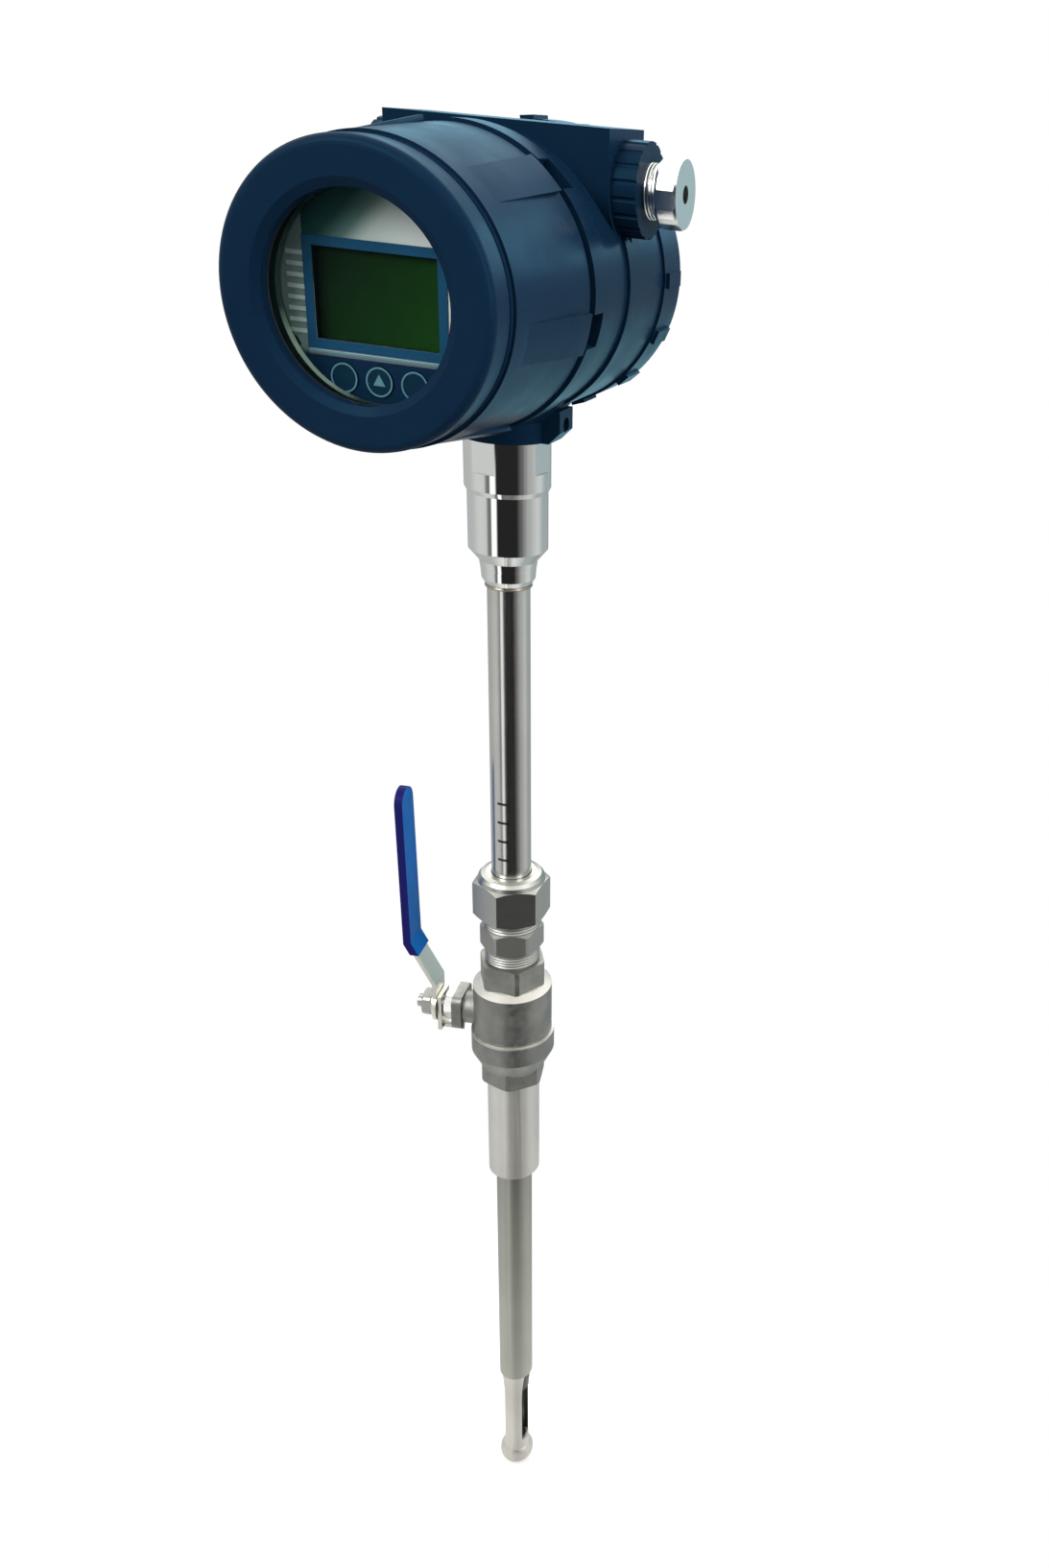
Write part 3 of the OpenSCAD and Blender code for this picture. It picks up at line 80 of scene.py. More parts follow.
class Tree:
    """The node tree of a material or of the sky."""

    def __init__(self, owner):
        owner.use_nodes = True
        self.nodes = owner.node_tree.nodes
        self.links = owner.node_tree.links

    def feed(self, socket, value):
        """Sets a socket to a fixed value, or wires another node's output to it."""
        if isinstance(value, bpy.types.NodeSocket):
            self.links.new(value, socket)
        else:
            socket.default_value = value

    def apart(self, vector):
        """The X, Y and Z of a vector, by those names."""
        node = self.nodes.new("ShaderNodeSeparateXYZ")
        self.feed(node.inputs[0], vector)
        return node.outputs

    def length(self, vector):
        node = self.nodes.new("ShaderNodeVectorMath")
        node.operation = "LENGTH"
        self.feed(node.inputs[0], vector)
        return node.outputs["Value"]

    def count(self, operation, first, second=0.0):
        """One step of arithmetic."""
        node = self.nodes.new("ShaderNodeMath")
        node.operation = operation
        self.feed(node.inputs[0], first)
        self.feed(node.inputs[1], second)
        return node.outputs[0]

    def between(self, value, low, high):
        """1 where the value lies between the two, and 0 elsewhere."""
        over = self.count("GREATER_THAN", value, low)
        return self.count("MULTIPLY", over, self.count("LESS_THAN", value, high))

    def ranged(self, value, start, end, low=0.0, high=1.0, easing="LINEAR"):
        """Turns start into low and end into high, and stays level beyond them."""
        node = self.nodes.new("ShaderNodeMapRange")
        node.interpolation_type = easing
        for name, number in zip(("From Min", "From Max", "To Min", "To Max"), (start, end, low, high)):
            node.inputs[name].default_value = number
        self.feed(node.inputs["Value"], value)
        return node.outputs[0]

    def ramp(self, value, stops, easing="LINEAR"):
        """Colours along a value from 0 to 1."""
        node = self.nodes.new("ShaderNodeValToRGB")
        node.color_ramp.interpolation = easing
        while len(node.color_ramp.elements) < len(stops):
            node.color_ramp.elements.new(0.5)
        for stop, (position, colour) in zip(node.color_ramp.elements, stops):
            stop.position = position
            stop.color = (*colour, 1)
        self.feed(node.inputs[0], value)
        return node.outputs[0]

    def mixed(self, share, first, second, blend="MIX"):
        """The first colour at a share of 0, and the second at 1."""
        node = self.nodes.new("ShaderNodeMix")
        node.data_type = "RGBA"
        node.blend_type = blend
        self.feed(node.inputs["Factor"], share)
        self.feed(node.inputs[6], first)
        self.feed(node.inputs[7], second)
        return node.outputs[2]


# %% [markdown]
# A finish is one Principled shader with its colour, roughness and bump varied by noise. This
# class holds what all finishes have in common, so that each finish below only says what is its
# own. A value that is the same all over sits on the shader's own socket. Patterns read the
# object's own coordinates, so they stay on a piece when it moves.

# %% The base of every finish
NOISE_SPAN = (0.3, 0.7)


class Finish(Tree):
    """A material with its shader, and short calls for what varies it."""

    def __init__(self, name, colour, metallic=0.0, roughness=0.5):
        self.material = bpy.data.materials.new(name)
        super().__init__(self.material)
        self.shader = self.nodes["Principled BSDF"]
        self.set("Base Color", (*colour, 1))
        self.set("Metallic", metallic)
        self.set("Roughness", roughness)
        self.place = self.nodes.new("ShaderNodeTexCoord").outputs["Object"]
        self.relief = None

    def set(self, name, value):
        self.feed(self.shader.inputs[name], value)

    def holds(self, name):
        """The output that is wired to one of the shader's sockets."""
        return self.shader.inputs[name].links[0].from_socket

    def stretched(self, scale, turn=(0, 0, 0), shift=(0, 0, 0)):
        """Object coordinates, scaled unevenly, turned or shifted."""
        node = self.nodes.new("ShaderNodeMapping")
        for name, value in (("Scale", scale), ("Rotation", turn), ("Location", shift)):
            node.inputs[name].default_value = value
        self.feed(node.inputs["Vector"], self.place)
        return node.outputs[0]

    def noise(self, scale, detail=2.0, vector=None):
        node = self.nodes.new("ShaderNodeTexNoise")
        node.inputs["Scale"].default_value = scale
        node.inputs["Detail"].default_value = detail
        self.feed(node.inputs["Vector"], vector or self.place)
        return node.outputs["Fac"]

    def colours(self, value, stops):
        self.set("Base Color", self.ramp(value, stops))

    def tint(self, share, colour, blend="MIX"):
        """Lays a colour over the one that the finish has, as far as the share says."""
        self.set("Base Color", self.mixed(share, self.holds("Base Color"), (*colour, 1), blend))

    def roughen(self, value, low, high):
        self.set("Roughness", self.ranged(value, *NOISE_SPAN, low, high))

    def bump(self, value, height_mm):
        """Adds a relief of so many millimetres on top of what is there."""
        node = self.nodes.new("ShaderNodeBump")
        node.inputs["Distance"].default_value = height_mm * MM
        self.feed(node.inputs["Height"], value)
        if self.relief:
            self.feed(node.inputs["Normal"], self.relief)
        self.relief = node.outputs[0]
        self.set("Normal", self.relief)


# %% [markdown]
# The studio is a pale floor and a sky that only the metal sees. The floor is a disc of paper just
# below the probe's end. It fades out towards its edge, so that the tall neck mirrors the sky and
# not the paper.

# %% Floor
FLOOR_Z = -236.5
FLOOR_R = 300.0
FLOOR_CORNERS = 96
FLOOR_SOLID_SHARE = 0.2
FLOOR_ALPHA = 0.55
alone()
bpy.ops.mesh.primitive_circle_add(
    vertices=FLOOR_CORNERS, radius=FLOOR_R * MM, fill_type="NGON", location=(0, 0, FLOOR_Z * MM)
)
floor = bpy.context.object
floor.name = "studio_floor"
paper = Finish("studio_paper", (0.98, 0.96, 0.94), roughness=0.9)
paper.set("Specular IOR Level", 0.1)
solid_r = FLOOR_R * FLOOR_SOLID_SHARE
cover = paper.ranged(paper.length(paper.place), FLOOR_R * MM, solid_r * MM, 0, FLOOR_ALPHA)
paper.set("Alpha", cover)
floor.data.materials.append(paper.material)
print("floor at", FLOOR_Z, "mm")

# %% [markdown]
# Polished steel shows its surroundings and nothing else, so the sky has one dark side, which draws
# the black band down the neck and the tube, and a bright side on either hand. Overhead it is
# white, for the rims and the other faces that look up. Low behind the head it is cool, and the
# blue coat's side mirrors that. First come the sky's tables.

# %% The sky's light and tints
PLAIN = (1.0, 1.0, 1.0, 1)
# Bearing from -Y towards +X in degrees, and how bright the sky is there
SKY_SIDES = [
    (-180, 0.45), (-140, 0.55), (-100, 0.62), (-60, 0.82), (-42, 0.8), (-32, 0.25), (-26, 0.2),
    (-21, 1.5), (-11, 1.5), (-5, 0.024), (47, 0.024), (62, 0.17), (72, 0.36), (82, 0.55),
    (118, 0.82), (146, 0.55), (164, 0.55), (180, 0.4),
]
# The back's tint by height, from straight down at 0 to straight up at 1
BACK_TINTS = [
    (0.0, (0.9, 0.97, 1.0)), (0.36, (0.9, 0.97, 1.0)), (0.42, (0.7, 0.93, 1.0)),
    (0.64, (0.7, 0.93, 1.0)), (0.72, (0.9, 0.98, 1.0)), (1.0, (1.0, 1.0, 1.0)),
]
# Where the tint begins and where it is full, as shares of the half turn from the front
BACK_FROM, BACK_TO = 118 / 180, 134 / 180
OVERHEAD = (1.5, 1.48, 1.42, 1)
OVERHEAD_FROM, OVERHEAD_TO = (math.sin(math.radians(degrees)) for degrees in (21, 31))
print("sky sides", len(SKY_SIDES))

# %% [markdown]
# The direction in which a mirrored ray leaves says which part of the sky it meets: its bearing
# round the meter picks the light, and its height the tint. The camera itself sees plain white.

# %% Sky
sky = bpy.data.worlds.new("studio_sky")
bpy.context.scene.world = sky
air = Tree(sky)
air.nodes.clear()
way = air.apart(air.nodes.new("ShaderNodeTexCoord").outputs["Generated"])
bearing = air.count("ARCTAN2", way["X"], air.count("MULTIPLY", way["Y"], -1))
side_stops = [((degrees + 180) / 360, (light, light, light)) for degrees, light in SKY_SIDES]
sides = air.ramp(air.ranged(bearing, -math.pi, math.pi), side_stops, "EASE")
off_front = air.count("ABSOLUTE", air.count("DIVIDE", bearing, math.pi))
tints = air.ramp(air.ranged(way["Z"], -1, 1), BACK_TINTS)
tinted = air.mixed(air.ranged(off_front, BACK_FROM, BACK_TO), sides, tints, "MULTIPLY")
overhead = air.ranged(way["Z"], OVERHEAD_FROM, OVERHEAD_TO, easing="SMOOTHSTEP")
mirrored = air.nodes.new("ShaderNodeBackground")
air.feed(mirrored.inputs["Color"], air.mixed(overhead, tinted, OVERHEAD))
plain = air.nodes.new("ShaderNodeBackground")
plain.inputs["Color"].default_value = PLAIN
either = air.nodes.new("ShaderNodeMixShader")
seen = air.nodes.new("ShaderNodeLightPath").outputs["Is Camera Ray"]
for socket, value in zip(either.inputs, (seen, mirrored.outputs[0], plain.outputs[0])):
    air.feed(socket, value)
air.feed(air.nodes.new("ShaderNodeOutputWorld").inputs[0], either.outputs[0])
print("sky nodes", len(air.nodes))

# %% [markdown]
# Large soft boxes do the lighting. Each is an area lamp that looks at the middle of the meter.
# Light linking lets a lamp light only the pieces of one collection.

# %% Helpers for lamps
TARGET = Vector((0, 0, 250 * MM))


def soft_box(name, place_mm, size_mm, watts, colour=(1.0, 1.0, 1.0), only=None):
    """An area lamp that looks at the middle of the meter, and may light only one collection."""
    alone()
    bpy.ops.object.light_add(type="AREA", location=Vector(place_mm) * MM)
    lamp = bpy.context.object
    lamp.name = name
    lamp.data.shape = "RECTANGLE"
    lamp.data.size, lamp.data.size_y = size_mm[0] * MM, size_mm[1] * MM
    lamp.data.energy = watts
    lamp.data.color = colour
    lamp.rotation_euler = (TARGET - lamp.location).to_track_quat("-Z", "Y").to_euler()
    if only:
        lamp.light_linking.receiver_collection = only
    return lamp


def lit_group(name, wanted):
    """A collection of the solids that a linked lamp lights."""
    group = bpy.data.collections.new(name)
    for node in wanted:
        group.objects.link(nodes[node])
    return group


# %% [markdown]
# The key is high on the left, a fill on the right, and one behind whitens the rims and all that
# looks up. The blue coat has two boxes of its own, because a coat this dark shows only what it
# mirrors, and a third one below that the camera can't see. They are cool, and light linking keeps
# them off the steel.

# %% Lamps
COATED = ["housing_body", "front_cover", "rear_cover"]
coated_head = lit_group("coated_head", COATED)
all_but_coat = lit_group("all_but_coat", sorted(set(nodes) - set(COATED)))
soft_box("key_box", (-900, -1500, 1500), (1100, 1100), 27)
soft_box("fill_box", (1700, -500, 900), (900, 1200), 14)
soft_box("back_box", (-380, 1500, 1350), (2000, 1300), 13, (1.0, 0.98, 0.95), only=all_but_coat)
soft_box("coat_box", (100, 1500, 1250), (2200, 1300), 14, (0.28, 0.74, 1.0), only=coated_head)
soft_box("coat_side_box", (700, 1300, 850), (700, 500), 3.4, (0.32, 0.74, 1.0), only=coated_head)
low_box = soft_box(
    "coat_low_box", (160, 1400, -250), (1400, 700), 2.2, (0.1, 0.75, 1.0), only=coated_head
)
low_box.visible_camera = False
print("lamps", len(bpy.data.lights))

# %% [markdown]
# The camera stands where the photographer stood. Its place, turn and lens were solved from the
# round covers, the hexagons and the tube. The picture's middle isn't the lens's middle, which is
# what the shift is for.

# %% Camera
LENS_PX = 1435.9
PICTURE_PX = (1093, 1634)
LENS_MIDDLE_PX = (823.1, 836.4)
SENSOR_MM = 36.0
NEAREST_MM = 10.0
YAW, PITCH, ROLL = (math.radians(a) for a in (11.49, 26.25, 5.18))
CAMERA_MM = (247.1, -547.8, 524.0)
look = Vector(
    (-math.sin(YAW) * math.cos(PITCH), math.cos(YAW) * math.cos(PITCH), -math.sin(PITCH))
)
level = Vector((math.cos(YAW), math.sin(YAW), 0))
upright = level.cross(look)
right = math.cos(ROLL) * level + math.sin(ROLL) * upright
above = -math.sin(ROLL) * level + math.cos(ROLL) * upright
stand = Matrix((right, above, -look)).transposed().to_4x4()
stand.translation = Vector(CAMERA_MM) * MM
alone()
bpy.ops.object.camera_add()
camera = bpy.context.object
camera.name = "studio_camera"
camera.matrix_world = stand
camera.data.sensor_width = SENSOR_MM
camera.data.lens = LENS_PX / max(PICTURE_PX) * SENSOR_MM
camera.data.shift_x = (PICTURE_PX[0] / 2 - LENS_MIDDLE_PX[0]) / max(PICTURE_PX)
camera.data.shift_y = (LENS_MIDDLE_PX[1] - PICTURE_PX[1] / 2) / max(PICTURE_PX)
camera.data.clip_start = NEAREST_MM * MM
bpy.context.scene.camera = camera
bpy.context.scene.view_settings.view_transform = "Standard"
print("lens", round(camera.data.lens, 2), "mm")

# %% [markdown]
# The head is cast aluminium under a dark blue powder coat. Powder flows out in the oven to a
# slightly wavy skin, like the peel of an orange, which breaks up the highlights. The colour is
# nearly even, a touch lighter where the coat is thin.

# %% Powder coat


def powder_coat(name, deep, thin):
    coat = Finish(name, deep, roughness=0.34)
    coat.colours(coat.noise(18, 3), [(0.3, deep), (0.75, thin)])
    coat.roughen(coat.noise(60), 0.26, 0.36)
    coat.bump(coat.noise(520), 0.03)
    coat.bump(coat.noise(1900, 1), 0.006)
    coat.set("Specular IOR Level", 0.04)
    coat.set("Specular Tint", (0.2, 0.72, 1.0, 1))
    return coat.material


cover_blue = powder_coat("powder_coat_cover", (0.0034, 0.0135, 0.033), (0.0044, 0.0175, 0.041))
body_blue = powder_coat("powder_coat_body", (0.0030, 0.0135, 0.032), (0.0040, 0.0165, 0.038))
print("coats", cover_blue.name, body_blue.name)

# %% [markdown]
# Stainless steel shows how it was made. A turned piece has fine rings round its axis, so the
# noise is stretched thin along the axis; a drawn tube is satin with streaks along it; a polished
# neck has almost nothing left but its mirror. One helper makes them all, with the direction of
# the grain as three scales.

# %% Steels
Z_RINGS = (6, 6, 2600)
Z_STREAKS = (900, 900, 9)
NO_GRAIN = (90, 90, 90)


def steel(name, colour, shade, low, high, grain, grain_mm):
    """Steel with streaks or rings in its roughness and relief, and a faint change of colour."""
    metal = Finish(name, colour, metallic=1.0, roughness=(low + high) / 2)
    lines = metal.noise(1, 3, metal.stretched(grain))
    metal.colours(metal.noise(24, 3), [(0.3, colour), (0.7, shade)])
    metal.roughen(lines, low, high)
    metal.bump(lines, grain_mm)
    return metal


drawn_tube = steel(
    "steel_drawn_tube", (0.56, 0.57, 0.54), (0.50, 0.50, 0.47), 0.17, 0.26, Z_STREAKS, 0.004
)
pipe_stub = steel(
    "steel_pipe_stub", (0.68, 0.68, 0.64), (0.60, 0.59, 0.55), 0.42, 0.55, Z_STREAKS, 0.01
)
shield_steel = steel(
    "steel_shield", (0.54, 0.54, 0.51), (0.47, 0.46, 0.43), 0.38, 0.48, Z_RINGS, 0.006
)
neck_steel = steel(
    "steel_polished_neck", (0.70, 0.72, 0.70), (0.66, 0.68, 0.66), 0.035, 0.06, Z_RINGS, 0.0015
)
nut_steel = steel(
    "steel_turned_nut", (0.44, 0.45, 0.42), (0.38, 0.38, 0.36), 0.28, 0.38, Z_RINGS, 0.004
)
fitting_steel = steel(
    "steel_milled_fitting", (0.36, 0.365, 0.34), (0.31, 0.31, 0.29), 0.42, 0.54, Z_RINGS, 0.005
)
print("steels so far", len(bpy.data.materials))

# %% [markdown]
# The lever is a strip that was rolled along its length, so its streaks run up it. Small bought
# parts have no grain to speak of. The gland is plated with nickel, and turned round the X axis.

# %% Metals of the small parts
strip_steel = steel(
    "steel_lever_strip", (0.76, 0.75, 0.68), (0.67, 0.66, 0.59), 0.30, 0.42, (40, 700, 9), 0.006
)
small_steel = steel(
    "steel_small_parts", (0.60, 0.60, 0.59), (0.50, 0.50, 0.49), 0.22, 0.34, NO_GRAIN, 0.006
)
nickel = steel(
    "nickel_plate", (0.88, 0.90, 0.88), (0.82, 0.84, 0.81), 0.12, 0.22, (2200, 8, 8), 0.003
)
brass = steel("brass", (0.80, 0.58, 0.24), (0.70, 0.48, 0.18), 0.22, 0.34, (90, 2200, 90), 0.004)
black_screw = steel(
    "steel_blackened", (0.06, 0.06, 0.065), (0.10, 0.10, 0.10), 0.34, 0.46, NO_GRAIN, 0.006
)
print("metals", len(bpy.data.materials))

# %% [markdown]
# The length of the tube that hangs in the pipe is duller and rougher than the polished length
# above the valve. The height of each point says how dull it is, with a soft border between.

# %% The tube's dull length
DULL_FROM, DULL_TO = 25.0, -5.0
DULL_ROUGHER = 0.2
tube_at = drawn_tube.apart(drawn_tube.place)
dull = drawn_tube.ranged(tube_at["Z"], DULL_FROM * MM, DULL_TO * MM)
drawn_tube.tint(dull, (0.66, 0.67, 0.63), "MULTIPLY")
rougher = drawn_tube.count("MULTIPLY", dull, DULL_ROUGHER)
drawn_tube.set("Roughness", drawn_tube.count("ADD", rougher, drawn_tube.holds("Roughness")))
print("dull below", DULL_FROM, "mm")

# %% [markdown]
# The depth marks are engraved in the solid, and dirt fills them. A mask finds them: counted in
# pitches from the first mark, a point is in a mark when it lies near a whole number.

# %% Dirt in the depth marks
MARK_FIRST, MARK_PITCH, MARKS = 194.9, 10.0, 4
MARK_HALF_H, MARK_FRONT = 0.65, -9.1
up_tube = drawn_tube.count("SUBTRACT", tube_at["Z"], MARK_FIRST * MM)
pitches = drawn_tube.count("DIVIDE", up_tube, MARK_PITCH * MM)
off_mark = drawn_tube.count("PINGPONG", pitches, 0.5)
near_mark = drawn_tube.count("LESS_THAN", off_mark, MARK_HALF_H / MARK_PITCH)
among = drawn_tube.between(pitches, -0.5, MARKS - 0.5)
in_front = drawn_tube.count("LESS_THAN", tube_at["Y"], MARK_FRONT * MM)
marked = drawn_tube.count("MULTIPLY", drawn_tube.count("MULTIPLY", near_mark, among), in_front)
drawn_tube.tint(marked, (0.05, 0.05, 0.048))
print("marks", MARKS)

# %% [markdown]
# Inside the flow window the shield gets a painted shade, a dark colour where shade falls in the
# hollow. The mask takes everything within the bore, and the window's two walls, which are all that
# lies so close to the middle plane.

# %% Painted shade in the shield's window
SHIELD_BORE_R, WINDOW_HALF_W, WINDOW_END = 5.45, 4.55, -213.6
shield_at = shield_steel.apart(shield_steel.place)
off_axis = shield_steel.length(shield_steel.stretched((1, 1, 0)))
in_bore = shield_steel.count("LESS_THAN", off_axis, SHIELD_BORE_R * MM)
off_middle = shield_steel.count("ABSOLUTE", shield_at["Y"])
in_slot = shield_steel.count("LESS_THAN", off_middle, WINDOW_HALF_W * MM)
over_end = shield_steel.count("GREATER_THAN", shield_at["Z"], WINDOW_END * MM)
in_slot = shield_steel.count("MULTIPLY", in_slot, over_end)
# Painted shade: the bore and the window's walls turn near black.
shield_steel.tint(shield_steel.count("MAXIMUM", in_bore, in_slot), (0.07, 0.07, 0.065))
print("window down to", WINDOW_END, "mm")

# %% [markdown]
# The valve is an investment casting, blasted to an even grey with small pits. The shoulder under
# its upper hexagon and the collar's upper edge get painted highlights, light bands on their edges.

# %% Cast valve
HIGHLIGHT_BANDS = ((118.9, 121.3), (91.0, 91.6))
cast_valve = Finish("steel_cast_valve", (0.26, 0.265, 0.25), metallic=1.0, roughness=0.5)
cast_valve.colours(
    cast_valve.noise(90, 4), [(0.3, (0.22, 0.225, 0.21)), (0.72, (0.31, 0.315, 0.295))]
)
cast_valve.roughen(cast_valve.noise(300, 3), 0.42, 0.56)
cast_valve.bump(cast_valve.noise(900, 4), 0.05)
cast_valve.bump(cast_valve.noise(160), 0.05)
cast_at = cast_valve.apart(cast_valve.place)
for low_mm, high_mm in HIGHLIGHT_BANDS:
    band = cast_valve.between(cast_at["Z"], low_mm * MM, high_mm * MM)
    # Painted highlight: a light band round the valve at each of these heights.
    cast_valve.tint(band, (0.62, 0.61, 0.57))
print("ground bands", len(HIGHLIGHT_BANDS))

# %% [markdown]
# The lever's sleeve is dipped vinyl: thick, bright and a little wavy where it ran down. Its edges
# get a painted shade, a darker blue, and its broad faces keep the lit blue. So its colour follows
# the way the surface faces: 1 is a broad face of the strip, and 0 an edge.

# %% Vinyl sleeve
STEM_TURN = 8.0
SLEEVE_FACE = (-math.cos(math.radians(STEM_TURN)), -math.sin(math.radians(STEM_TURN)), 0)
SLEEVE_BLUE, SLEEVE_SHADED_EDGE = (0.003, 0.085, 0.30), (0.009, 0.009, 0.092)
sleeve = Finish("vinyl_sleeve", SLEEVE_BLUE, roughness=0.36)
sleeve.set("Specular IOR Level", 0.03)
sleeve.roughen(sleeve.noise(140), 0.30, 0.42)
sleeve.bump(sleeve.noise(160, 3), 0.08)
facing = sleeve.nodes.new("ShaderNodeVectorMath")
facing.operation = "DOT_PRODUCT"
facing.inputs[1].default_value = SLEEVE_FACE
sleeve.feed(facing.inputs[0], sleeve.nodes.new("ShaderNodeTexCoord").outputs["Normal"])
broad = sleeve.count("ABSOLUTE", facing.outputs["Value"])
# Painted shade: the edges turn a dark violet blue, and the broad faces stay bright blue.
sleeve.colours(broad, [(0.35, SLEEVE_SHADED_EDGE), (0.8, SLEEVE_BLUE)])
print("the sleeve's broad face looks", [round(share, 2) for share in SLEEVE_FACE])

# %% [markdown]
# Rubber is near black and dull. The plain plastics have the fine grain of a mould. The parts
# behind the window are printed or moulded in blue, and hardly shine.

# %% Plastics and rubber


def moulded(name, colour, shade, low, high, grain_scale, grain_mm, gloss=0.4):
    plastic = Finish(name, colour, roughness=(low + high) / 2)
    plastic.colours(plastic.noise(30), [(0.3, colour), (0.75, shade)])
    plastic.roughen(plastic.noise(140), low, high)
    plastic.bump(plastic.noise(grain_scale, 3), grain_mm)
    plastic.set("Specular IOR Level", gloss)
    return plastic.material


rubber = moulded("rubber_black", (0.012, 0.012, 0.012), (0.022, 0.022, 0.021), 0.6, 0.8, 900, 0.02)
ptfe = moulded("ptfe_white", (0.80, 0.80, 0.77), (0.72, 0.72, 0.68), 0.4, 0.55, 400, 0.01)
black_plastic = moulded(
    "plastic_black", (0.014, 0.014, 0.016), (0.024, 0.024, 0.026), 0.4, 0.55, 1500, 0.015
)
cable_skin = moulded("cable_skin", (0.55, 0.52, 0.44), (0.48, 0.45, 0.38), 0.45, 0.6, 500, 0.02)
frame_blue = moulded(
    "screen_frame_blue", (0.008, 0.060, 0.130), (0.011, 0.075, 0.155), 0.3, 0.42, 900, 0.003,
    gloss=0.04,
)
key_blue = moulded(
    "key_blue", (0.003, 0.022, 0.046), (0.004, 0.030, 0.060), 0.34, 0.46, 900, 0.005, gloss=0.04
)
print_light = moulded(
    "print_light", (0.09, 0.24, 0.30), (0.13, 0.30, 0.36), 0.4, 0.5, 900, 0.003, gloss=0.04
)
print("finishes so far", len(bpy.data.materials))

# %% [markdown]
# A circuit board is green lacquer over copper: where tracks run, the lacquer stands a little
# higher and looks lighter. A brick pattern gives that look without drawing any real circuit.

# %% Circuit board
board = Finish("circuit_board", (0.02, 0.12, 0.05), roughness=0.32)
tracks = board.nodes.new("ShaderNodeTexBrick")
for socket, number in (("Scale", 150), ("Mortar Size", 0.03), ("Bias", 0.2)):
    tracks.inputs[socket].default_value = number
board.feed(tracks.inputs["Vector"], board.stretched((1, 1, 1), (math.radians(90), 0, 0)))
board.colours(tracks.outputs["Fac"], [(0.0, (0.015, 0.10, 0.04)), (1.0, (0.05, 0.22, 0.09))])
board.bump(tracks.outputs["Fac"], 0.03)
board.roughen(board.noise(80), 0.25, 0.4)
print("board", board.material.name)

# %% [markdown]
# Behind the window lies a printed film on a plate: pale grey green above, with the ribbed strip
# on the left, and teal blue below for the keys. First the pale part. It is darker on the upper
# left, where the deep cover shades it, so its colours run along a slanting line.

# %% The film's pale part and its strip
FACE_Y = -104.0
strip_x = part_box("lcd_frame")[0].x / MM
STRIP_BLUR = 0.1
RIB_RISE = (0.05, 0.25)
FILM_SLANT = math.radians(45)
# The shade's ends on the slanting line, from the film's middle
FILM_SHADE = (-44.0, 6.0)
film = Finish("display_film", (0.30, 0.36, 0.33), roughness=0.36)
film.set("Specular IOR Level", 0.03)
film_at = film.apart(film.place)
slant_x = film.apart(film.stretched((1, 1, 1), (0, -FILM_SLANT, 0)))["X"]
middle_x = -HEAD_Z * math.sin(FILM_SLANT)
across = film.ranged(slant_x, (middle_x + FILM_SHADE[0]) * MM, (middle_x + FILM_SHADE[1]) * MM)
pale = film.ramp(
    across,
    [(0.0, (0.010, 0.045, 0.045)), (0.34, (0.014, 0.070, 0.068)), (0.47, (0.10, 0.19, 0.175)),
     (0.58, (0.44, 0.53, 0.50)), (1.0, (0.74, 0.80, 0.77))],
)
on_strip = film.ranged(film_at["X"], (strip_x + STRIP_BLUR) * MM, (strip_x - STRIP_BLUR) * MM)
strip = film.mixed(on_strip, pale, (0.15, 0.23, 0.22, 1))
on_rib = film.ranged(film_at["Y"], (FACE_Y - RIB_RISE[0]) * MM, (FACE_Y - RIB_RISE[1]) * MM)
ribbed = film.mixed(on_rib, strip, (0.36, 0.47, 0.45, 1))
print("strip left of", round(strip_x, 2), "mm")

# %% [markdown]
# The border between pale and teal is a height on the plate, so the height of each point picks its
# colour. A painted shadow runs round the plate's edge, where the window ring shades it, and the
# cut walls of the screen's opening, which lie behind the face, get painted shade too.

# %% The film's teal part and its painted shade
FILM_SPLIT_Z = HEAD_Z - 20.5
FILM_BLUR = 1.0
FILM_SHADOW_RIM = (34.8, 36.0)
FILM_BEHIND = (0.1, 0.2)
teal = film.ramp(film.noise(40), [(0.3, (0.0020, 0.016, 0.042)), (0.7, (0.0035, 0.022, 0.058))])
is_pale = film.ranged(
    film_at["Z"], (FILM_SPLIT_Z - FILM_BLUR) * MM, (FILM_SPLIT_Z + FILM_BLUR) * MM
)
printed_film = film.mixed(is_pale, teal, ribbed)
from_middle = film.length(film.stretched((1, 0, 1), shift=(0, 0, -HEAD_Z * MM)))
rim = film.ranged(from_middle, FILM_SHADOW_RIM[0] * MM, FILM_SHADOW_RIM[1] * MM)
behind = film.ranged(
    film_at["Y"], (FACE_Y + FILM_BEHIND[0]) * MM, (FACE_Y + FILM_BEHIND[1]) * MM
)
# Painted shadow and shade: the rim and the walls behind the face turn near black.
painted_film_shade = film.count("MAXIMUM", rim, behind)
film.set("Base Color", film.mixed(painted_film_shade, printed_film, (0.002, 0.004, 0.006, 1)))
film.roughen(film.noise(120), 0.3, 0.42)
film.bump(film.noise(1400), 0.003)
print("teal below", FILM_SPLIT_Z, "mm")

# %% [markdown]
# A liquid crystal screen that is off is a dark green mirror. The green is deepest on the left and
# at the top, under the frame's shade, and warmer towards the lower right, so it runs along a
# slanting line as the film's does.

# %% Screen
SCREEN_SLANT = math.radians(30)
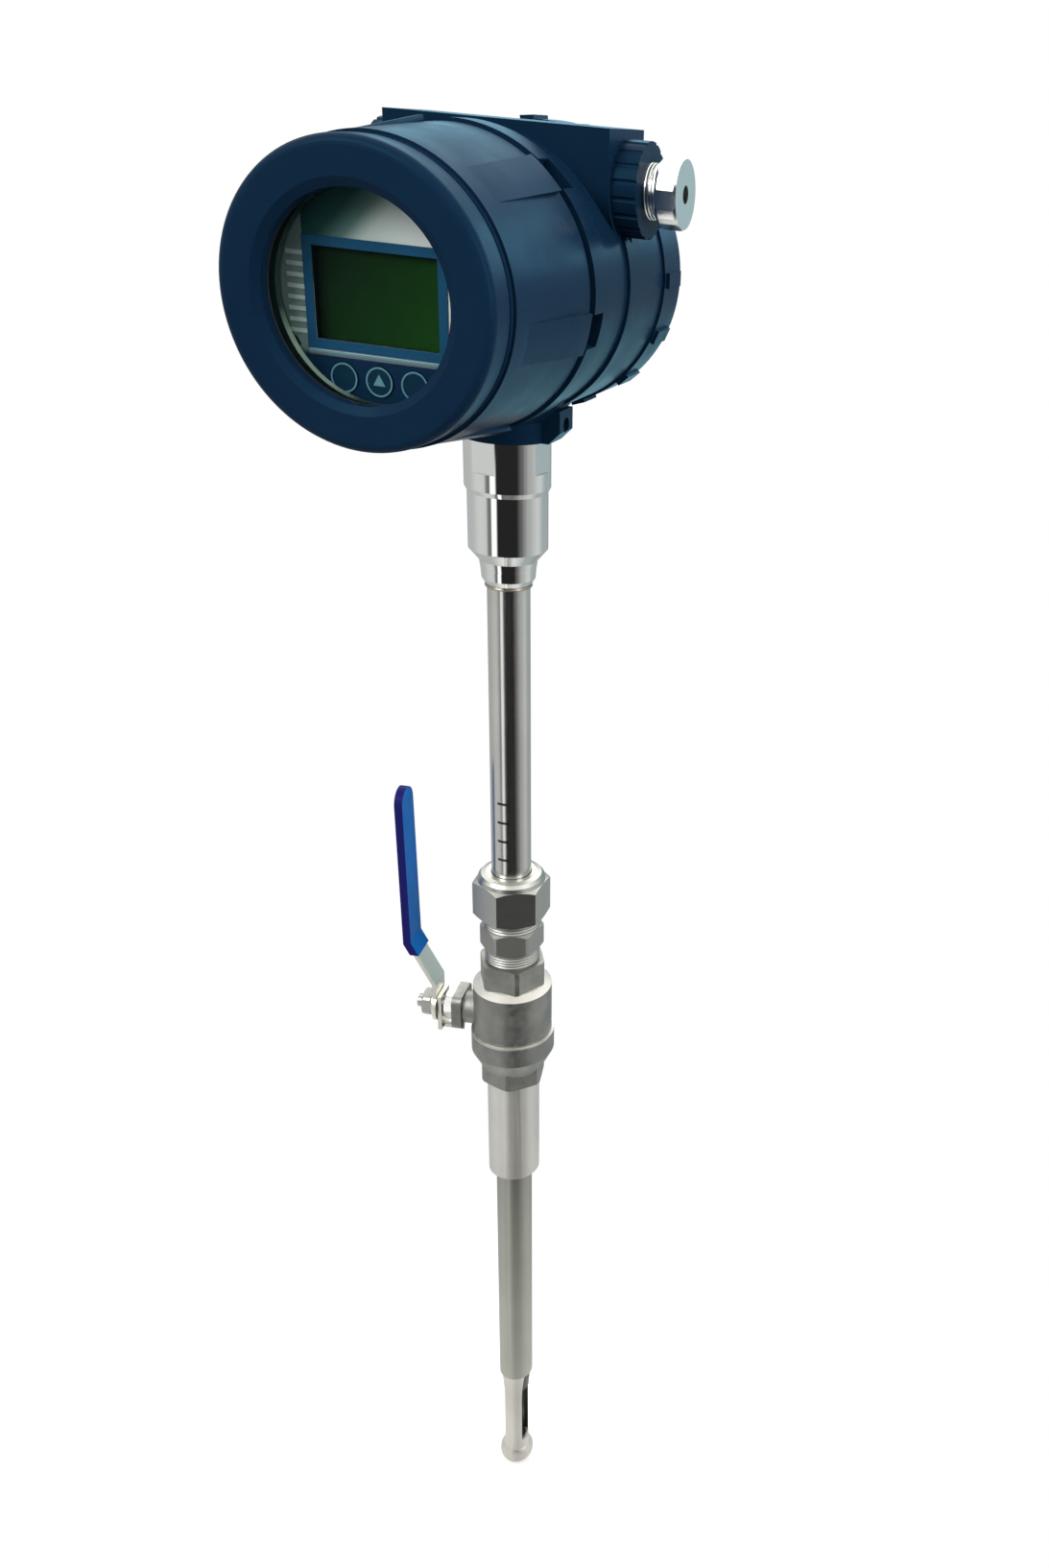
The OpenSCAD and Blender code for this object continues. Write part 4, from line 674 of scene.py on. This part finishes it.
# The greens' ends on a slanting line, from the screen's middle
SCREEN_GREENS = (-30.0, 30.0)
SHADE_LEFT, SHADE_TOP = (1.5, 7.0), (0.5, 3.5)
screen = Finish("screen_green", (0.006, 0.022, 0.006), roughness=0.4)
screen.set("Specular IOR Level", 0.03)
slant_x = screen.apart(screen.stretched((1, 1, 1), (0, -SCREEN_SLANT, 0)))["X"]
middle_x = -HEAD_Z * math.sin(SCREEN_SLANT)
greens = screen.ramp(
    screen.ranged(slant_x, *((middle_x + reach) * MM for reach in SCREEN_GREENS)),
    [(0.0, (0.002, 0.008, 0.004)), (0.3, (0.004, 0.020, 0.006)), (0.6, (0.005, 0.032, 0.006)),
     (1.0, (0.008, 0.054, 0.006))],
)
screen_at = screen.apart(screen.place)
screen_low, screen_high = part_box("lcd_panel")
from_left = screen.ranged(
    screen_at["X"], *(screen_low.x + reach * MM for reach in SHADE_LEFT), 0.08, 1
)
from_top = screen.ranged(
    screen_at["Z"], *(screen_high.z - reach * MM for reach in SHADE_TOP), 0.2, 1
)
lit = screen.count("MULTIPLY", from_left, from_top)
shaded = screen.mixed(lit, (0.0006, 0.0012, 0.0012, 1), greens)
print("screen", [round(size / MM, 1) for size in screen_high - screen_low])

# %% [markdown]
# The screen has a very fine grid of cells. A checker makes them, far too small to count, and only
# darkens the green a little.

# %% The screen's cells
cells = screen.nodes.new("ShaderNodeTexChecker")
cells.inputs["Scale"].default_value = 2200
cells.inputs["Color1"].default_value = (0.86, 0.86, 0.86, 1)
cells.inputs["Color2"].default_value = (1, 1, 1, 1)
screen.feed(cells.inputs["Vector"], screen.place)
screen.set("Base Color", screen.mixed(1, shaded, cells.outputs["Color"], "MULTIPLY"))
screen.roughen(screen.noise(50), 0.34, 0.46)
print("screen nodes", len(screen.nodes))

# %% [markdown]
# The window is a thick disc of hardened glass. Seen straight on it is all but clear. It is made
# see-through by its alpha, because light then reaches the display behind it without the noise of
# light bent through glass.

# %% Window glass
glass = Finish("window_glass", (0.01, 0.02, 0.02), roughness=0.03)
glass.set("Alpha", 0.04)
glass.set("Specular IOR Level", 0.12)
glass.roughen(glass.noise(24, 3), 0.02, 0.06)
print("glass", glass.material.name)

# %% [markdown]
# The ring that holds the window is seen only through the thick glass, which gives it a pale green
# cast. It is blasted, so it is dull rather than a mirror. The lower left of its bore gets a painted
# highlight, pale green, and the face next to the glass a painted shadow.

# %% Window ring
RING_BORE_R = 35.0
RING_FACE = (0.05, 0.3)
# Where the painted highlight begins and is full, as X plus Z from the window's middle
RING_HIGHLIGHT = (-41.0, -48.5)
ring_steel = Finish("blasted_window_ring", (0.40, 0.56, 0.47), metallic=0.3, roughness=0.4)
ring_place = ring_steel.stretched((1, 0, 1), shift=(0, 0, -HEAD_Z * MM))
ring_at = ring_steel.apart(ring_place)
low_left = ring_steel.count("ADD", ring_at["X"], ring_at["Z"])
ring_highlight = ring_steel.ranged(low_left, RING_HIGHLIGHT[0] * MM, RING_HIGHLIGHT[1] * MM)
# Painted highlight: the lower left of the bore turns pale green, and the rest stays dark.
ring_steel.colours(ring_highlight, [(0.0, (0.022, 0.05, 0.046)), (1.0, (0.34, 0.50, 0.41))])
on_face = ring_steel.ranged(
    ring_steel.length(ring_place), *((RING_BORE_R + reach) * MM for reach in RING_FACE)
)
# Painted shadow on the face next to the glass.
ring_steel.tint(on_face, (0.010, 0.030, 0.027))
ring_steel.roughen(ring_steel.noise(200), 0.32, 0.48)
print("finishes", len(bpy.data.materials))

# %% [markdown]
# Each solid that keeps its shape gets its finish here. The table says it once for all of them.

# %% Finishes of the solids
WORN = {
    pipe_stub.material: ["process_nipple"],
    cast_valve.material: ["valve_end_cap", "valve_body"],
    nut_steel.material: ["lever_nut", "compression_nut"],
    fitting_steel.material: ["fitting_body"],
    small_steel.material: [
        "packing_nut", "valve_stem", "lever_washer", "front_ferrule", "back_ferrule",
        "valve_ball", "heated_pin", "reference_pin",
    ],
    ring_steel.material: ["window_retaining_ring"],
    strip_steel.material: ["lever", "lock_slide"],
    sleeve.material: ["lever_grip"],
    drawn_tube.material: ["probe_tube"],
    shield_steel.material: ["sensor_shield", "sensor_plug"],
    neck_steel.material: ["neck_adapter"],
    black_screw.material: ["neck_lock_screw", "cover_lock_screws"],
    nickel.material: [
        "gland_body", "gland_nut", "blanking_plug", "display_standoffs", "display_screws",
        "module_screws", "terminal_screws",
    ],
    brass.material: ["ground_screw"],
    body_blue: ["housing_body"],
    cover_blue: ["front_cover", "rear_cover"],
    rubber: [
        "neck_seal", "front_cover_oring", "rear_cover_oring", "window_gasket", "gland_seal",
        "key_pad",
    ],
    ptfe: ["body_seal", "valve_seats", "stem_washer", "stem_packing"],
    black_plastic: [
        "cable_feedthrough", "electronics_cup", "partition_feedthrough", "terminal_block",
    ],
    cable_skin: ["sensor_cable"],
    board.material: ["display_board", "main_board", "power_board"],
    film.material: ["display_faceplate"],
    frame_blue: ["lcd_frame"],
    screen.material: ["lcd_panel"],
    key_blue: ["key_left", "key_middle", "key_right"],
    glass.material: ["window_glass"],
}
for material, names in WORN.items():
    for name in names:
        nodes[name].data.materials.clear()
        nodes[name].data.materials.append(material)
dressed = {name for names in WORN.values() for name in names}
print("undressed solids", sorted(set(nodes) - dressed))

# %% [markdown]
# Each of the three keys has a thin printed ring, and the middle one an arrow that points up. Print
# is a skin of ink: the disc of a circle is inset, its middle taken out, and the ring that is left
# gets a few hundredths of a millimetre of thickness.

# %% Helpers for printed marks
PRINT_MM = 0.05


def settle(piece):
    """Applies the piece's place and turn, so that its object sits at the origin."""
    make_active(piece)
    bpy.ops.object.transform_apply(location=True, rotation=True, scale=True)


def finished(piece, kind, **settings):
    """Adds a modifier with these settings and applies it."""
    modifier = piece.modifiers.new(kind.lower(), kind)
    for name, value in settings.items():
        setattr(modifier, name, value)
    make_active(piece)
    bpy.ops.object.modifier_apply(modifier=modifier.name)


def printed(name, corners, radius_mm, place, body, line_mm=None):
    """A flat polygon that faces -Y, or only its outline of line_mm, as a skin of ink."""
    alone()
    bpy.ops.mesh.primitive_circle_add(
        vertices=corners, radius=radius_mm * MM, fill_type="NGON", location=place,
        rotation=(math.radians(90), 0, 0),
    )
    mark = bpy.context.object
    mark.name = name
    settle(mark)
    if line_mm:
        bpy.ops.object.mode_set(mode="EDIT")
        bpy.ops.mesh.select_all(action="SELECT")
        bpy.ops.mesh.inset(thickness=line_mm * MM)
        bpy.ops.mesh.delete(type="FACE")
        bpy.ops.object.mode_set(mode="OBJECT")
    finished(mark, "SOLIDIFY", thickness=PRINT_MM * MM, offset=0)
    mark.data.materials.append(print_light)
    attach(mark, body)


# %% [markdown]
# A mark lies on its key and moves with it, so it rides on the key's own body. Its place is read
# from the key's box.

# %% Printed marks on the keys
KEY_RING_SHARE = 0.495
KEY_RING_R = 5.0
KEY_RING_CORNERS = 64
KEY_LINE = 0.55
ARROW_R = 2.6
for node, body in (("key_left", "key_one"), ("key_middle", "key_two"), ("key_right", "key_three")):
    low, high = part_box(node)
    spot = Vector(((low.x + high.x) / 2, low.y - PRINT_MM / 2 * MM, (low.z + high.z) / 2))
    ring_r = min((high.x - low.x) / MM * KEY_RING_SHARE, KEY_RING_R)
    printed(node + "_ring", KEY_RING_CORNERS, ring_r, spot, body, line_mm=KEY_LINE)
    if node == "key_middle":
        printed("key_arrow", 3, ARROW_R, spot, body)
    print(node, "ring radius", round(ring_r, 2), "mm at", [round(v / MM, 2) for v in spot])

# %% [markdown]
# A light line runs under the screen's frame, printed on the film from one side to the other.

# %% Line under the screen
LINE_DROP = 0.9
LINE_H = 0.8
low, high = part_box("lcd_frame")
film_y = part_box("display_faceplate")[0].y
alone()
bpy.ops.mesh.primitive_plane_add(
    size=1,
    location=((low.x + high.x) / 2, film_y - PRINT_MM / 2 * MM, low.z - LINE_DROP * MM),
    rotation=(math.radians(90), 0, 0),
)
line = bpy.context.object
line.name = "screen_line"
line.scale = (high.x - low.x, LINE_H * MM, 1)
settle(line)
finished(line, "SOLIDIFY", thickness=PRINT_MM * MM, offset=0)
line.data.materials.append(print_light)
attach(line, "probe_head")
print("line", [round(v / MM, 2) for v in (low.x, low.y, low.z)])

# %% [markdown]
# The solids leave their threads out, because a thread's helix costs thousands of faces. Only four
# short stretches are ever seen, and rings look the same there. One ridge is a short open cone
# whose wide rim is extruded on to the narrow width again.

# %% One ridge of a thread
THREAD_CORNERS = 96
MERGE_MM = 0.001


def thread_ridge(name, start, step, radius, depth):
    """An open ridge that begins at start on its own Z and is one step long."""
    alone()
    bpy.ops.mesh.primitive_cone_add(
        vertices=THREAD_CORNERS, radius1=(radius - depth) * MM, radius2=radius * MM,
        depth=step / 2 * MM, end_fill_type="NOTHING", location=(0, 0, (start + step / 4) * MM),
    )
    ridge = bpy.context.object
    ridge.name = name
    settle(ridge)
    top = max(corner.co.z for corner in ridge.data.vertices)
    bpy.ops.object.mode_set(mode="EDIT")
    bpy.ops.mesh.select_mode(type="VERT")
    bpy.ops.mesh.select_all(action="DESELECT")
    bpy.ops.object.mode_set(mode="OBJECT")
    for corner in ridge.data.vertices:
        corner.select = corner.co.z > top - MERGE_MM * MM
    bpy.ops.object.mode_set(mode="EDIT")
    bpy.ops.mesh.extrude_region_move(
        TRANSFORM_OT_translate={"value": (0, 0, step / 2 * MM)}
    )
    narrow = (radius - depth) / radius
    bpy.ops.transform.resize(value=(narrow, narrow, 1))
    bpy.ops.object.mode_set(mode="OBJECT")
    return ridge


# %% [markdown]
# An array repeats the ridge down the length, and a wall makes the sleeve a closed skin that lies
# on the solid's surface. The sleeve is made upright, and then turned to where it belongs.

# %% A sleeve of ridges


def threaded_sleeve(name, turn, centre_mm, start, end, radius, pitch, depth):
    """A sleeve of ridges from start to end along its own Z, in millimetres, then turned."""
    count = max(1, round((end - start) / pitch))
    step = (end - start) / count
    sleeve = thread_ridge(name, start, step, radius, depth)
    finished(
        sleeve, "ARRAY", count=count, use_relative_offset=False, use_constant_offset=True,
        constant_offset_displace=(0, 0, step * MM), use_merge_vertices=True,
        merge_threshold=MERGE_MM * MM,
    )
    bpy.ops.object.mode_set(mode="EDIT")
    bpy.ops.mesh.select_all(action="SELECT")
    bpy.ops.mesh.normals_make_consistent(inside=False)
    bpy.ops.object.mode_set(mode="OBJECT")
    finished(sleeve, "SOLIDIFY", thickness=depth / 2 * MM, offset=-1)
    sleeve.rotation_euler = turn
    sleeve.location = Vector(centre_mm) * MM
    settle(sleeve)
    print(name, count, "ridges,", len(sleeve.data.polygons), "faces")
    return sleeve


def dress(piece, finish, body):
    """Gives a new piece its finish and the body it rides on."""
    piece.data.materials.append(finish)
    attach(piece, body)


# %% [markdown]
# The four threads show at the gland, on both sides of the fitting's hexagon, and beyond the
# lever's nut. Each starts and ends a little clear of the pieces beside it, whose boxes say where
# they are.

# %% The four visible threads
RIM = 0.15
FIT_GAP = (142.5, 154.5)
CONDUIT_Z = 495.4
STEM_Z = 100.5
STEM_END = (46.3, 49.4)
# Outer radius, pitch and depth of each thread
GLAND_THREAD = (10.2, 1.3, 0.5)
FIT_LOW_THREAD = (13.6, 1.6, 0.8)
FIT_HIGH_THREAD = (14.2, 1.5, 0.7)
STEM_THREAD = (3.4, 0.8, 0.4)
NO_SHIFT = (0, 0, 0)
NO_TURN = (0, 0, 0)
ALONG_X = (0, math.radians(90), 0)
ALONG_STEM = (0, math.radians(-90), math.radians(STEM_TURN))
hub_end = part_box("housing_body")[1].x / MM
nut_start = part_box("gland_nut")[0].x / MM
valve_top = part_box("valve_body")[1].z / MM
nut_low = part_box("compression_nut")[0].z / MM
gland_thread = threaded_sleeve(
    "gland_thread", ALONG_X, (0, 0, CONDUIT_Z), hub_end + RIM, nut_start - RIM, *GLAND_THREAD
)
dress(gland_thread, nickel.material, "probe_head")
low_thread = threaded_sleeve(
    "fitting_low_thread", NO_TURN, NO_SHIFT, valve_top + RIM, FIT_GAP[0] - RIM, *FIT_LOW_THREAD
)
dress(low_thread, nut_steel.material, "valve")
high_thread = threaded_sleeve(
    "fitting_high_thread", NO_TURN, NO_SHIFT, FIT_GAP[1] + RIM, nut_low - RIM, *FIT_HIGH_THREAD
)
dress(high_thread, nut_steel.material, "valve")
stem_thread = threaded_sleeve(
    "stem_thread", ALONG_STEM, (0, 0, STEM_Z), *STEM_END, *STEM_THREAD
)
dress(stem_thread, small_steel.material, "valve_core")

# %% [markdown]
# The probe tube is welded into the neck's collar. The weld is a narrow bead with a straw and blue
# heat tint beside it: a torus, flattened a little along the tube, and roughened by a noise.

# %% Weld bead at the neck
BEAD_R = 9.75
BEAD_MINOR = 0.75
BEAD_FLAT = 0.8
BEAD_CORNERS = (96, 14)
weld = Finish("steel_weld", (0.28, 0.27, 0.25), metallic=1.0, roughness=0.3)
weld.colours(
    weld.noise(260, 3),
    [(0.3, (0.22, 0.21, 0.20)), (0.55, (0.31, 0.28, 0.23)), (0.75, (0.18, 0.19, 0.23))],
)
weld.roughen(weld.noise(500), 0.2, 0.4)
weld.bump(weld.noise(700), 0.05)
neck_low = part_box("neck_adapter")[0].z
alone()
bpy.ops.mesh.primitive_torus_add(
    major_segments=BEAD_CORNERS[0], minor_segments=BEAD_CORNERS[1], major_radius=BEAD_R * MM,
    minor_radius=BEAD_MINOR * MM, location=(0, 0, neck_low),
)
bead = bpy.context.object
bead.name = "neck_weld"
bead.scale = (1, 1, BEAD_FLAT)
settle(bead)
bpy.ops.object.shade_smooth()
dress(bead, weld.material, "probe_head")
print("weld at", round(neck_low / MM, 2))
